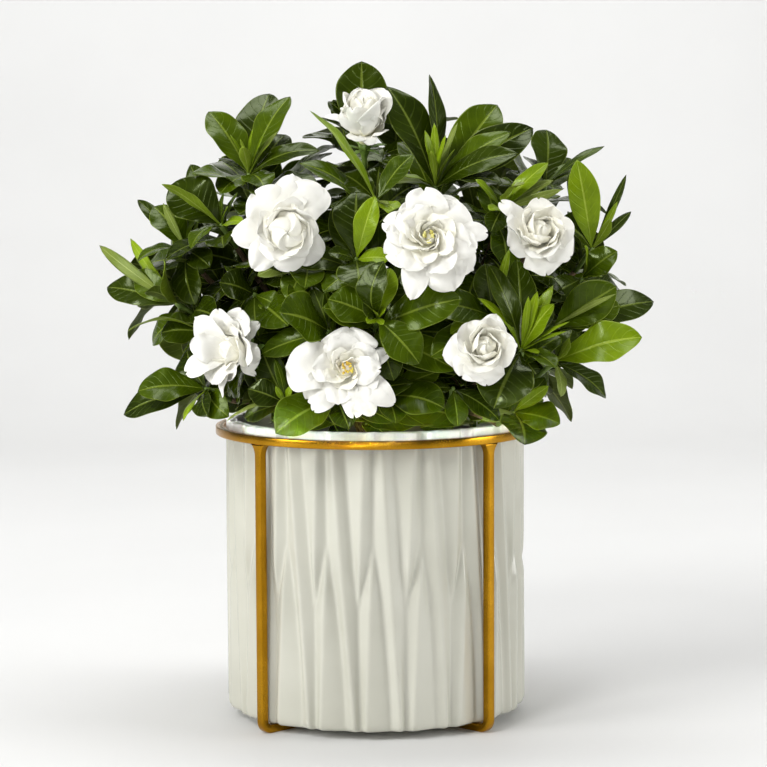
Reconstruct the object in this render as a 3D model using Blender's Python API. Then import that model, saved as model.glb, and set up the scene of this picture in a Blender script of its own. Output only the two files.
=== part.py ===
"""Potted gardenia: a flowering gardenia bush in a round ceramic pot held by a square-bar metal stand.

Origin on the floor under the middle of the pot, +Z up, the fullest side of the bush toward -Y.
Places and sizes are written in millimetres and turned into metres where meshes are made.
"""

import math

import bmesh
import bpy
import numpy as np
from mathutils.bvhtree import BVHTree

mm = 0.001

# ceramic pot
potTopRadius = 101.4
potFootRadius = 102.0
potFloor = 6.0
potRim = 204.0
potWall = 6.0
fluteCount = 21
fluteHeight = 1.1
fluteHalfWidth = 3.4
potSegments = fluteCount * 4

# metal stand
barSize = 5.6
ringInner = 103.5
ringHeight = 196.5
legInner = 103.4
bendRadius = 9.0
legBearings = (45.0, 135.0)

# nursery pot and potting mix inside the ceramic pot
growerTopRadius = 91.0
growerFootRadius = 82.0
growerWall = 1.4
growerRim = 190.0
soilTop = 181.0
crownRadius = 11.0
crownDepth = 45.0

clearance = 0.3
twigRadius = 1.7
nodeRadius = 3.4
twigLength = 20.0
stalkLength = 22.0
bloomSink = 0.95
petalSpring = 2.5
leafThickness = 1.3
petalThickness = 1.6
narrowLeaf = 10.0


# (lean from the axis in degrees, length, width, tone) of the whorls of a far shoot
farWhorlKinds = ((78, 60, 29, 0), (48, 56, 26, 1), (16, 26, 8, 2))


def removeEverything():
    for thing in list(bpy.data.objects):
        bpy.data.objects.remove(thing, do_unlink=True)


# ---------------------------------------------------------------- plant layout
# A leaf is (right, back, up, width, roll, arch, tone): its tip measured from the heart of its shoot,
# its width, its turn about its own length in degrees, how far it bows, and how young it is:
# 0 old and dark, 1 full green, 2 young and bright, 3 pale underside or grey sheen.
shoots = {
    "shoot_top_left": ((-83, -35, 370), (-0.1, -0.35, 0.93), [
        (-27, 14, 43, 26, 0, 0.06, 1),
        (11, 30, 58, 31, 0, 0.08, 0),
        (29, 24, 50, 22, 0, 0.08, 1),
        (47, -12, 17, 18, 20, 0.12, 0),
        (-18, -18, -12, 22, 0, 0.1, 1),
        (12, -26, -8, 22, 0, 0.12, 1),
        (-21, 12, 11, 8, 0, 0.05, 0),
        (-12, -8, 27, 5, 0, 0.04, 2),
        (-5, -13, 24, 4, 0, 0.04, 3),
        (1, -10, 31, 5, 0, 0.04, 2),
        (-3, -17, 19, 8, 0, 0.04, 2),
        (12, -8, 29, 6, 0, 0.04, 2),
        (15, -14, 21, 4, 0, 0.04, 2),
        (20, -4, 29, 7, 0, 0.04, 3)]),
    "shoot_left_shoulder": ((-100, -58, 337), (-0.45, -0.5, 0.74), [
        (-34, 6, 27, 35, 0, 0.1, 0),
        (-40, -22, 26, 10, 60, 0.04, 3),
        (-23, 26, 41, 15, 0, 0.08, 0),
        (2, -8, 22, 7, 0, 0.04, 1),
        (11, -4, 22, 6, 0, 0.04, 1),
        (5, -14, 13, 5, 0, 0.04, 2),
        (-19, -24, -13, 15, 0, 0.14, 1),
        (15, -14, 3, 10, 0, 0.1, 2)]),
    "shoot_left": ((-130, -55, 285), (-0.75, -0.45, 0.48), [
        (-6, -27, 29, 26, 0, 0.06, 2),
        (-55, 33, 38, 9, 0, 0.1, 3),
        (-33, 23, 43, 9, 0, 0.05, 2),
        (-32, 15, 22, 19, 0, 0.1, 1),
        (-50, 24, 11, 20, 0, 0.08, 0),
        (-20, -16, 10, 11, 0, 0.14, 1),
        (10, 12, -22, 24, 0, 0.1, 0)]),
    "shoot_left_upper": ((-124, -50, 321), (-0.5, -0.35, 0.79), [
        (-22, 10, 29, 24, 30, 0.06, 1),
        (-15, -2, 31, 6, 0, 0.04, 3),
        (-7, 22, 31, 24, 0, 0.08, 1),
        (5, 12, 25, 15, 0, 0.06, 0),
        (-35, 28, 33, 10, 0, 0.06, 0),
        (-33, -4, -7, 14, 0, 0.15, 1),
        (-1, -14, -38, 22, 0, 0.12, 0),
        (15, -18, -12, 18, 0, 0.1, 0)]),
    "shoot_left_low": ((-112, -62, 267), (-0.8, -0.4, 0.35), [
        (-50, -7, 2, 11, 40, 0.16, 3),
        (-37, -6, -8, 31, 0, 0.1, 0)]),
    "shoot_lower_left": ((-110, -72, 230), (-0.72, -0.5, 0.4), [
        (-45, -6, 0, 26, 0, 0.1, 1),
        (-57, 12, -17, 23, 0, 0.08, 0),
        (15, -27, -15, 19, 0, 0.14, 1),
        (2, -26, -15, 17, 0, 0.14, 0),
        (-13, -16, -21, 7, 0, 0.08, 2),
        (-15, 25, 25, 24, 0, 0.1, 0)]),
    "shoot_left_front": ((-57, -108, 224), (-0.25, -0.8, 0.5), [
        (-6, -7, 12, 4, 0, 0.04, 2),
        (4, -4, 12, 5, 0, 0.04, 2),
        (-38, -5, -11, 7, 40, 0.12, 3),
        (-27, 6, -10, 14, 0, 0.1, 0),
        (-24, -3, 10, 19, 0, 0.12, 0),
        (-7, 1, 29, 6, 30, 0.12, 1)]),
    "shoot_low_front": ((-24, -104, 226), (-0.1, -0.8, 0.6), [
        (-41, -20, -16, 31, 0, 0.12, 1),
        (36, -8, -14, 15, 0, 0.1, 0),
        (8, -22, -16, 18, 0, 0.12, 0)]),
    "shoot_low_middle": ((6, -98, 227), (0.3, -0.75, 0.6), [
        (39, -20, -5, 29, 0, 0.12, 1),
        (37, 0, 17, 17, 0, 0.08, 1),
        (8, -24, -14, 20, 0, 0.14, 0)]),
    "shoot_centre": ((2, -114, 279), (0.05, -0.86, 0.5), [
        (4, -12, 37, 22, -35, 0.24, 0),
        (-10, -13, 13, 15, 0, 0.12, 0),
        (-31, -4, 13, 26, 0, 0.08, 1),
        (27, -13, -28, 26, 0, 0.1, 1),
        (9, 8, 32, 16, 0, 0.1, 2),
        (-5, -14, 0, 7, 0, 0.06, 2),
        (4, -16, -3, 5, 0, 0.06, 2),
        (-2, -16, 6, 5, 0, 0.06, 2),
        (5, -13, 8, 6, 0, 0.06, 2)]),
    "shoot_centre_left": ((-29, -106, 270), (-0.3, -0.8, 0.5), [
        (-30, -26, 19, 37, 0, 0.08, 1),
        (-44, 3, -14, 19, 0, 0.06, 1),
        (-2, -6, 27, 9, 60, 0.06, 1),
        (6, -14, -20, 18, 0, 0.1, 0)]),
    "shoot_under_bloom": ((-42, -86, 312), (0.1, -0.75, 0.65), [
        (-2, -24, -13, 22, 0, 0.14, 1),
        (-12, -17, -22, 21, 20, 0.12, 1),
        (-33, -9, -6, 14, 0, 0.14, 3),
        (12, -14, -19, 9, 0, 0.08, 1)]),
    "shoot_left_middle": ((-78, -72, 292), (-0.4, -0.75, 0.52), [
        (-22, -12, 9, 24, 0, 0.1, 0),
        (-20, 2, 19, 9, 40, 0.06, 1),
        (18, -12, -8, 15, 0, 0.1, 1),
        (4, -14, -27, 18, 0, 0.1, 0)]),
    "shoot_centre_up": ((-11, -98, 316), (-0.05, -0.8, 0.6), [
        (12, -10, 41, 16, 0, 0.04, 2),
        (0, 18, 44, 30, 0, 0.08, 0),
        (3, -29, -20, 31, 0, 0.1, 0),
        (21, -7, 1, 15, 0, 0.1, 2),
        (-18, -9, 5, 11, 0, 0.1, 0)]),
    "shoot_crown_front": ((2, -72, 353), (0.05, -0.6, 0.8), [
        (-43, 16, 60, 14, 30, 0.06, 2),
        (24, 2, 31, 17, 0, 0.08, 1),
        (16, -17, -9, 13, 0, 0.08, 2),
        (8, -14, -2, 4, 0, 0.06, 3),
        (-22, 8, 18, 22, 0, 0.08, 0)]),
    "shoot_crown_back": ((-8, 8, 388), (0.0, -0.15, 0.99), [
        (0, 16, 59, 35, 0, 0.06, 0),
        (15, 18, 42, 18, 0, 0.1, 3),
        (-15, 6, 38, 20, 0, 0.08, 0),
        (-28, -6, 23, 11, 0, 0.1, 0),
        (4, -32, -14, 25, 0, 0.12, 0),
        (-40, -18, -9, 13, 0, 0.1, 0),
        (-33, 24, 28, 18, 0, 0.42, 3)]),
    "shoot_crown_right": ((41, -45, 361), (0.05, -0.35, 0.93), [
        (-31, 16, 68, 30, 0, 0.06, 0),
        (-2, 26, 76, 17, 45, 0.04, 3),
        (43, 30, 56, 27, 0, 0.08, 1),
        (66, 16, 40, 27, 0, 0.08, 0),
        (48, -4, 39, 21, 0, 0.06, 1),
        (54, -19, 25, 19, 6, 0.1, 0),
        (41, -26, 12, 19, 0, 0.1, 0),
        (-4, 22, 52, 12, 0, 0.06, 0),
        (-7, -6, 38, 7, 0, 0.04, 2),
        (0, 0, 43, 6, 0, 0.04, 2),
        (7, -11, 35, 6, 0, 0.04, 2),
        (15, -2, 43, 5, 0, 0.04, 3),
        (8, -13, 28, 9, 0, 0.04, 2),
        (-2, -14, 26, 6, 0, 0.04, 2),
        (-22, -20, 8, 9, 0, 0.08, 2),
        (-27, -14, 4, 10, 0, 0.08, 3)]),
    "shoot_upper_right": ((116, -12, 362), (0.35, -0.2, 0.91), [
        (3, 28, 38, 26, 0, 0.06, 0),
        (27, 20, 18, 19, 0, 0.1, 1),
        (41, 10, 26, 9, 0, 0.05, 3),
        (-27, -2, 8, 19, 0, 0.1, 0),
        (-14, 12, 20, 15, 0, 0.08, 0),
        (4, -26, -4, 17, 0, 0.1, 0)]),
    "shoot_right_front": ((84, -66, 347), (0.2, -0.6, 0.77), [
        (30, 0, 31, 13, 0, 0.06, 2),
        (13, -21, 18, 15, 0, 0.12, 3),
        (-17, -9, 22, 9, 0, 0.06, 2),
        (-9, -18, 0, 9, 0, 0.08, 2),
        (39, -9, 13, 6, 50, 0.08, 3),
        (34, 0, 19, 9, 0, 0.06, 3),
        (-8, -20, -14, 15, 0, 0.1, 0)]),
    "shoot_right_tall": ((146, -32, 319), (0.55, -0.35, 0.76), [
        (-11, -13, 60, 21, -65, 0.05, 2),
        (-22, -9, 20, 30, -30, 0.1, 0),
        (25, 22, 50, 6, 0, 0.04, 0),
        (18, 10, 32, 5, 0, 0.04, 2),
        (28, 17, 25, 7, 0, 0.04, 0),
        (12, -13, 21, 8, 0, 0.04, 2),
        (-14, 12, 52, 14, -40, 0.06, 0)]),
    "shoot_right_upper": ((138, -44, 300), (0.7, -0.45, 0.55), [
        (23, -6, 19, 21, -40, 0.06, 1),
        (2, -16, 23, 10, 0, 0.06, 2),
        (13, -8, 3, 9, 0, 0.08, 2),
        (28, 24, -8, 13, 0, 0.1, 0),
        (-24, -25, -11, 18, 0, 0.1, 0)]),
    "shoot_right_middle": ((117, -72, 270), (0.6, -0.62, 0.5), [
        (41, -8, 27, 27, 0, 0.08, 1),
        (45, 3, 14, 23, 0, 0.08, 1),
        (73, 46, 15, 22, 0, 0.06, 0),
        (40, -21, 23, 4, 0, 0.04, 3)]),
    "shoot_right_low": ((95, -104, 257), (0.15, -0.5, 0.85), [
        (-2, 14, 59, 21, 0, 0.05, 3),
        (-24, 5, 55, 19, 0, 0.06, 3),
        (-29, -8, 35, 9, 0, 0.12, 2),
        (20, -8, 31, 17, 0, 0.06, 2),
        (19, -3, 43, 9, 0, 0.05, 2),
        (10, -6, 39, 7, 0, 0.04, 2),
        (4, -9, 36, 5, 0, 0.04, 2),
        (30, -16, 20, 5, 0, 0.04, 2),
        (28, -19, 14, 5, 0, 0.04, 2),
        (10, -20, 0, 7, 0, 0.06, 2),
        (21, -22, -9, 17, 0, 0.1, 1),
        (-19, -27, -34, 37, 0, 0.1, 0)]),
    "shoot_right_leaf": ((118, -82, 248), (0.6, -0.55, 0.58), [
        (55, -13, 18, 31, 0, 0.06, 2),
        (34, -3, -23, 22, 0, 0.08, 0),
        (3, -18, -21, 10, 0, 0.08, 3),
        (8, -24, 17, 7, 0, 0.05, 3),
        (12, 2, 21, 19, 0, 0.08, 0)]),
    "shoot_low_right": ((90, -92, 216), (0.45, -0.75, 0.48), [
        (30, -13, -6, 24, 0, 0.08, 1),
        (7, -22, -18, 34, 0, 0.14, 0),
        (23, -8, 18, 9, 0, 0.06, 2),
        (-21, -18, -3, 9, 0, 0.1, 3)]),
    "shoot_right_foot": ((51, -98, 232), (0.1, -0.75, 0.65), [
        (3, -9, -23, 15, 0, 0.06, 1),
        (30, -11, -19, 18, 0, 0.1, 0),
        (-16, -12, 2, 10, 0, 0.1, 0)]),
    "shoot_centre_right": ((77, -100, 279), (-0.1, -0.75, 0.65), [
        (-45, -12, 10, 28, 0, 0.08, 1),
        (17, 4, 42, 6, 0, 0.04, 2),
        (-5, 5, 34, 19, 0, 0.08, 0),
        (-28, -11, -10, 17, 0, 0.1, 2),
        (-36, -5, -22, 13, 0, 0.08, 0)]),
}

# The far side is filled by rule: (bearing from the front in degrees, reach, height, leaves in a whorl).
farShoots = {
    "shoot_far_top": (165, 55, 378, 3),
    "shoot_far_upper_left": (235, 98, 345, 3),
    "shoot_far_upper_right": (125, 96, 342, 3),
    "shoot_far_left": (262, 132, 292, 3),
    "shoot_far_right": (98, 130, 300, 3),
    "shoot_far_middle_left": (213, 118, 295, 3),
    "shoot_far_middle_right": (150, 116, 300, 3),
    "shoot_far_low_left": (245, 112, 236, 3),
    "shoot_far_low_middle": (182, 108, 240, 3),
    "shoot_far_low_right": (118, 110, 238, 3),
}

# A bloom is its receptacle, the way it faces, the size of its closed middle, and its outer petals,
# each (right, back, up, width, arch) with the tip measured from the receptacle.
blooms = {
    "crown": ((-6, -35, 392), (0.0, -0.45, 0.9), 10.0, [
        (-1, -8, 34, 26, 0.02),
        (-13, -14, 22, 20, 0.0),
        (12, -10, 24, 20, 0.0),
        (13, -16, 8, 17, -0.1),
        (4, -20, -1, 13, 0.1),
        (-8, -18, 3, 18, 0.0),
        (-25, -6, 19, 8, 0.05)]),
    "upper_left": ((-57, -102, 337), (0.1, -0.97, -0.1), 16.0, [
        (6, -5, 34, 29, 0.06),
        (-20, -8, 23, 35, 0.06),
        (-34, -7, -5, 27, 0.08),
        (-20, -10, -27, 25, 0.08),
        (4, -12, -28, 27, 0.08),
        (25, -3, 27, 33, 0.06),
        (24, -8, -19, 27, 0.06)]),
    "upper_middle": ((35, -120, 329), (0.0, -0.96, 0.25), 16.0, [
        (-3, -9, 34, 30, 0.06),
        (20, -8, 25, 34, 0.06),
        (37, -13, 6, 15, 0.04),
        (30, -17, -5, 24, 0.08),
        (28, -11, -18, 22, 0.08),
        (16, -13, -31, 30, 0.08),
        (-12, -15, -36, 21, 0.06),
        (-28, -13, -8, 27, 0.08),
        (-29, -8, 13, 19, 0.06),
        (-17, -14, 19, 26, 0.06)]),
    "upper_right": ((104, -96, 328), (0.2, -0.85, 0.45), 15.0, [
        (-21, -8, 26, 15, 0.0),
        (7, -2, 27, 30, 0.04),
        (20, -5, 13, 27, 0.06),
        (24, -8, -10, 29, 0.08),
        (8, -13, -22, 33, 0.08),
        (-17, -13, -3, 28, 0.02)]),
    "left": ((-83, -94, 257), (-0.7, -0.68, 0.15), 14.0, [
        (-32, -16, 21, 21, 0.08),
        (-19, -14, 27, 26, 0.06),
        (-4, -16, 28, 25, 0.06),
        (8, -10, 20, 15, 0.08),
        (9, -17, -4, 21, 0.08),
        (-34, -19, 6, 22, 0.06),
        (-40, -14, -11, 21, 0.1),
        (-22, -18, -18, 23, 0.08),
        (-17, -14, -28, 9, 0.12),
        (6, -12, -16, 9, 0.16)]),
    "lower_middle": ((-18, -120, 246), (0.1, -0.95, 0.2), 13.0, [
        (-38, -9, 4, 37, 0.08),
        (-25, -12, -18, 25, 0.08),
        (-20, -17, -24, 15, 0.06),
        (3, -3, 29, 37, 0.06),
        (-18, -6, 16, 25, 0.06),
        (28, -5, 12, 13, 0.06),
        (6, -20, -28, 17, 0.1),
        (18, -20, -26, 18, 0.1),
        (32, -16, -19, 20, 0.1),
        (22, -17, 3, 21, 0.08)]),
    "lower_right": ((69, -122, 258), (0.1, -0.93, 0.3), 11.0, [
        (-25, -7, -1, 27, 0.04),
        (-7, -2, 20, 25, 0.02),
        (9, -2, 24, 21, 0.02),
        (18, -9, 1, 21, 0.04),
        (3, -14, -20, 32, 0.06),
        (-14, -11, -15, 27, 0.06)]),
}

# Stems rise from the crown of the root ball as limbs: (bearing in degrees, reach, height).
limbs = {
    "front": (5, 62, 262),
    "frontLeft": (-48, 66, 262),
    "frontRight": (52, 64, 262),
    "backLeft": (-125, 62, 268),
    "backRight": (128, 62, 268),
    "middle": (-20, 14, 322),
}


# ---------------------------------------------------------------- blades
def unit(v):
    v = np.asarray(v, float)
    return v / np.linalg.norm(v)


def spin(v, axis, degrees):
    """v turned about axis."""
    a = math.radians(degrees)
    v = np.asarray(v, float)
    return v * math.cos(a) + np.cross(axis, v) * math.sin(a) + axis * (axis @ v) * (1 - math.cos(a))


def leafOutline(t):
    """Half width of a leaf along its length: a narrow stalk, widest past the middle, a drawn-out tip."""
    return t**1.25 * (1 - t) ** 0.85 / 0.2373


def petalOutline(t):
    """Half width of a petal along its length: narrow at the base, widest near its rounded end."""
    return t**0.9 * (1 - t) ** 0.45 / 0.4358


def makeBlade(base, tip, axis, width, roll, arch):
    """A leaf or petal whose upper face looks toward the axis of the shoot or bloom it grows on."""
    along = unit(tip - base)
    face = axis - along * (axis @ along)
    if np.linalg.norm(face) < 0.12:
        face = face - np.array([0.0, 0.0, 1.0]) * 0.3 - along * (along @ face)
        face = face - along * (along @ face)
    face = spin(unit(face), along, roll)
    return {"base": base, "tip": tip, "along": along, "face": face, "width": width, "arch": arch}


def bladePoints(blade, t, v, outline, grow=0.0, keel=0.16):
    """Points of a blade at shares t of its length and v of its half width, -1 to 1, and the way up there."""
    t = np.asarray(t, float)[:, None, None]
    v = np.asarray(v, float)[None, :, None]
    length = np.linalg.norm(blade["tip"] - blade["base"])
    along, face = blade["along"], blade["face"]
    side = np.cross(along, face)
    bow = blade["arch"] * length
    centre = blade["base"] + along * (length * t) + face * (bow * 4 * t * (1 - t))
    tangent = along * length + face * (bow * 4 * (1 - 2 * t))
    tangent = tangent / np.linalg.norm(tangent, axis=2, keepdims=True)
    up = np.cross(np.broadcast_to(side, tangent.shape), tangent)
    half = blade["width"] / 2 * outline(t) + grow
    return centre + side * (half * v) + up * (half * keel * np.abs(v)), up + v * 0


def bladeSolid(blade, stations, thickness, outline, grow=0.0, stalk=0.8):
    """A closed blade, thick along its midrib and sharp at both edges: points and faces."""
    inner = np.asarray(stations[1:-1], float)
    points, up = bladePoints(blade, inner, (-1, 0, 1), outline, grow)
    end = blade["tip"] + blade["along"] * grow
    side = np.cross(blade["along"], blade["face"])
    lift = blade["face"] * (thickness / 2 + grow)
    root = blade["base"]
    verts = [root - side * stalk, root + lift, root + side * stalk, root - lift]
    for row, rise in zip(points, up):
        thick = rise[1] * (thickness / 2 + grow)
        verts += [row[0], row[1] + thick, row[2], row[1] - thick]
    verts.append(end)
    faces = [(3, 2, 1, 0)]
    rows = len(inner) + 1
    for r in range(rows - 1):
        for c in range(4):
            d = (c + 1) % 4
            faces.append((4 * r + c, 4 * r + d, 4 * r + 4 + d, 4 * r + 4 + c))
    last = 4 * (rows - 1)
    for c in range(4):
        faces.append((last + c, last + (c + 1) % 4, 4 * rows))
    return np.array(verts), faces


# ---------------------------------------------------------------- settling the plant
leafStations = (0.0, 0.18, 0.5, 0.8, 1.0)
farStations = (0.0, 0.2, 0.6, 1.0)
smallStations = (0.0, 0.5, 1.0)
testStations = (0.0, 0.16, 0.35, 0.55, 0.8, 1.0)
outerStations = (0.3, 0.34, 0.55, 0.8, 1.0)
petalStations = (0.0, 0.5, 0.88, 1.0)


class Obstacle:
    """A solid that leaves of other shoots keep clear of."""

    def __init__(self, owner, verts, faces):
        self.owner = owner
        self.low = verts.min(0)
        self.high = verts.max(0)
        self.tree = BVHTree.FromPolygons([tuple(p) for p in verts], faces)


def anyMeets(obstacles, owner, verts, faces):
    """Whether a solid touches an obstacle that isn't its owner's."""
    low, high = verts.min(0), verts.max(0)
    tree = None
    for other in obstacles:
        if other.owner == owner or (low > other.high).any() or (high < other.low).any():
            continue
        if tree is None:
            tree = BVHTree.FromPolygons([tuple(p) for p in verts], faces)
        if other.tree.overlap(tree):
            return True
    return False


def nudges():
    """Small turns and shortenings of a leaf to try, the gentlest first: (clock, lean, share of length)."""
    found = []
    for clock in (0, 5, -5, 10, -10, 16, -16, 24, -24):
        for lean in (0, 5, -5, 10, -10, 17, -17):
            for share in (1.0, 0.93, 0.84, 0.74):
                found.append((abs(clock) / 10 + abs(lean) / 8 + (1 - share) * 9, clock, lean, share))
    found.sort()
    return [f[1:] for f in found]


def insideSolids(points):
    """Whether a point is in the pot's wall, the ring, the potting mix or a bloom's middle."""
    reach = np.hypot(points[:, 0], points[:, 1])
    height = points[:, 2]
    if ((height < soilTop + 2.5) & (reach < potTopRadius - potWall)).any():
        return True
    if ((height < potRim + 1.5) & (reach > potTopRadius - potWall - 1) & (reach < ringInner + 0.5)).any():
        return True
    low = height < ringHeight + barSize / 2 + 1.2
    if (low & (reach > 102) & (reach < ringInner + barSize + 1.2)).any():
        return True
    for receptacle, facing, middle, _ in blooms.values():
        centre = np.array(receptacle, float) + unit(facing) * middle * bloomSink
        if (np.linalg.norm(points - centre, axis=1) < middle + 0.8).any():
            return True
    return False


def farWhorls(bearing, reach, height, perWhorl):
    """A shoot on the far side: two whorls of grown leaves and a tuft of young ones round its axis."""
    turn = math.radians(bearing)
    heart = np.array([reach * math.sin(turn), -reach * math.cos(turn), height])
    axis = unit([heart[0], heart[1], 45 + (height - 235) * 0.9])
    right = unit(np.cross(axis, [0, 0, 1]))
    upward = np.cross(right, axis)
    leaves = []
    for ring, (lean, length, width, tone) in enumerate(farWhorlKinds):
        count = perWhorl + 1 - ring
        for k in range(count):
            clock = math.radians(360 / count * k + 40 * ring + bearing)
            out = right * math.cos(clock) + upward * math.sin(clock)
            size = length * (1 + 0.12 * math.sin(7 * k + bearing))
            tip = (axis * math.cos(math.radians(lean)) + out * math.sin(math.radians(lean))) * size
            leaves.append((*tip, width, 0, 0.04 if width < narrowLeaf else 0.1, tone))
    return tuple(heart), tuple(axis), leaves


def allShoots():
    """Every shoot by name, the drawn ones first."""
    everything = dict(shoots)
    for name, rule in farShoots.items():
        everything[name] = farWhorls(*rule)
    return everything


def settlePlant(obstacles):
    """Turns or shortens each leaf until it clears everything else, and leaves it out if nothing clears."""
    tries = nudges()
    settled = {}
    dropped = []
    for name, (heart, axis, leaves) in allShoots().items():
        heart = np.array(heart, float)
        axis = unit(axis)
        kept = []
        siblings = []
        for index, leaf in enumerate(leaves):
            base = heart + unit(leaf[:3]) * nodeRadius * 0.35
            reach = heart + np.array(leaf[:3], float) - base
            hinge = unit(np.cross(axis, reach))
            for clock, lean, share in tries:
                offset = spin(spin(reach, hinge, lean), axis, clock) * share
                width = leaf[3] * (0.4 + 0.6 * share)
                blade = makeBlade(base, base + offset, axis, width, leaf[4], leaf[5])
                verts, faces = bladeSolid(blade, testStations, leafThickness, leafOutline, grow=0.45)
                if insideSolids(verts[4:]) or anyMeets(obstacles, name, verts, faces):
                    continue
                outer, outerFaces = bladeSolid(blade, outerStations, 0.8, leafOutline)
                outer = outer[4:]
                outerFaces = [[i - 4 for i in f] for f in outerFaces if min(f) > 3]
                if anyMeets(siblings, "", outer, outerFaces):
                    continue
                kept.append((blade, leaf[6]))
                obstacles.append(Obstacle(name, verts, faces))
                siblings.append(Obstacle(name, outer, outerFaces))
                break
            else:
                dropped.append((name, index))
        settled[name] = (heart, axis, kept)
    return settled, dropped


# ---------------------------------------------------------------- stems
def bezier(a, b, c, d, count):
    """Points on a cubic curve."""
    t = np.linspace(0, 1, count)[:, None]
    return a * (1 - t) ** 3 + 3 * b * t * (1 - t) ** 2 + 3 * c * t * t * (1 - t) + d * t**3


def tubeSolid(path, radii, sides, flatEnd=None):
    """A closed tube along a path. flatEnd is the direction that its last face looks in."""
    path = np.asarray(path, float)
    heading = np.gradient(path, axis=0)
    if flatEnd is not None:
        heading[-1] = flatEnd
    verts = []
    across = None
    for point, ahead, radius in zip(path, heading, radii):
        ahead = unit(ahead)
        if across is None:
            across = unit(np.cross(ahead, [0.3, 0.9, 0.2]))
        across = unit(across - ahead * (across @ ahead))
        other = np.cross(ahead, across)
        for k in range(sides):
            a = 2 * math.pi * k / sides
            verts.append(point + (across * math.cos(a) + other * math.sin(a)) * radius)
    faces = [tuple(reversed(range(sides)))]
    for r in range(len(path) - 1):
        for k in range(sides):
            n = (k + 1) % sides
            faces.append((r * sides + k, r * sides + n, (r + 1) * sides + n, (r + 1) * sides + k))
    faces.append(tuple(range((len(path) - 1) * sides, len(path) * sides)))
    return np.array(verts), faces


def limbPaths():
    """The main limbs, each from the root crown outward and up."""
    paths = {}
    for name, (bearing, reach, height) in limbs.items():
        turn = math.radians(bearing)
        out = np.array([math.sin(turn), -math.cos(turn), 0.0])
        start = out * min(5.0, reach * 0.2) + np.array([0, 0, soilTop - 1])
        end = out * reach + np.array([0, 0, height])
        knee = start + np.array([0, 0, 30]) + out * reach * 0.15
        paths[name] = bezier(start, knee, end * 0.55 + knee * 0.45, end, 5)
    return paths


def branchPath(paths, foot, axis):
    """A branch from the nearest part of a limb to the foot of a twig or stalk, arriving along its axis."""
    best = None
    for path in paths.values():
        for k in range(1, len(path)):
            gap = np.linalg.norm(foot - path[k]) + (60 if path[k][2] > foot[2] + 5 else 0)
            if best is None or gap < best[0]:
                best = (gap, path[k], path[k] - path[k - 1])
    gap, start, ahead = best
    lead = min(gap * 0.35, 22)
    approach = foot - axis * lead
    approach[2] = max(approach[2], potRim + 10)
    return bezier(start, start + unit(ahead) * lead, approach, foot, 3)


def stemTubes():
    """All tubes of the woody stems: the root crown, the limbs and a branch to every twig and stalk."""
    crown = [(0, 0, soilTop - crownDepth), (0, 0, soilTop - crownDepth * 0.5)]
    crown += [(0, 0, soilTop + 2), (0, 0, soilTop + 9)]
    tubes = [tubeSolid(crown, (6.5, crownRadius - 1.5, crownRadius - 1.5, 5.0), 8)]
    paths = limbPaths()
    for path in paths.values():
        tubes.append(tubeSolid(path, np.linspace(4.2, 2.6, len(path)), 5))
    for foot, axis in branchEnds():
        tubes.append(tubeSolid(branchPath(paths, foot, axis), (2.3, 2.0, 1.7), 4, axis))
    return tubes


def branchEnds():
    """Where each branch ends, just short of its twig or flower stalk, and the way it points."""
    ends = []
    for heart, axis, _ in allShoots().values():
        axis = unit(axis)
        ends.append((np.array(heart, float) - axis * (twigLength + clearance), axis))
    for receptacle, facing, middle, _ in blooms.values():
        facing = unit(facing)
        ends.append((np.array(receptacle, float) - facing * (stalkLength + clearance), facing))
    return ends


def twigTube(heart, axis):
    """The green end of a branch that carries a shoot's leaves."""
    return tubeSolid([heart - axis * twigLength, heart], (twigRadius, twigRadius), 4, axis)


def nodeSolid(heart, axis):
    """The swollen joint that a shoot's leaves spring from: two blunt pyramids foot to foot."""
    across = unit(np.cross(axis, [0.3, 0.9, 0.2]))
    other = np.cross(axis, across)
    turns = np.arange(4) * math.pi / 2
    corners = [heart + (across * math.cos(a) + other * math.sin(a)) * nodeRadius for a in turns]
    verts = [heart - axis * nodeRadius] + corners + [heart + axis * nodeRadius]
    faces = [(0, 1 + (k + 1) % 4, 1 + k) for k in range(4)] + [(5, 1 + k, 1 + (k + 1) % 4) for k in range(4)]
    return np.array(verts), faces


# ---------------------------------------------------------------- blooms
def bloomPetals(receptacle, facing, middle, petals):
    """The outer petals of a bloom as blades that spring from just above its receptacle."""
    facing = unit(facing)
    base = np.array(receptacle, float) + facing * petalSpring
    blades = []
    for right, back, up, width, arch in petals:
        tip = np.array(receptacle, float) + np.array([right, back, up], float)
        blades.append(makeBlade(base, tip, facing, width, 0, arch))
    return blades


def ballSolid(centre, radius, rings, sides):
    """A closed ball."""
    verts = [centre + np.array([0, 0, radius])]
    for r in range(1, rings):
        a = math.pi * r / rings
        for k in range(sides):
            b = 2 * math.pi * k / sides
            out = np.array([math.sin(a) * math.cos(b), math.sin(a) * math.sin(b), math.cos(a)])
            verts.append(centre + radius * out)
    verts.append(centre - np.array([0, 0, radius]))
    faces = [(0, 1 + k, 1 + (k + 1) % sides) for k in range(sides)]
    for r in range(rings - 2):
        for k in range(sides):
            a, b = 1 + r * sides + k, 1 + r * sides + (k + 1) % sides
            faces.append((a, a + sides, b + sides, b))
    base = 1 + (rings - 2) * sides
    faces += [(base + k, len(verts) - 1, base + (k + 1) % sides) for k in range(sides)]
    return np.array(verts), faces


def bloomSolids(bloom):
    """The closed middle of a bloom and its outer petals, as overlapping solids."""
    receptacle, facing, middle, petals = bloom
    centre = np.array(receptacle, float) + unit(facing) * middle * bloomSink
    solids = [ballSolid(centre, middle, 5, 8)]
    for blade in bloomPetals(*bloom):
        solids.append(bladeSolid(blade, petalStations, petalThickness, petalOutline, stalk=1.6))
    return solids


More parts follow.
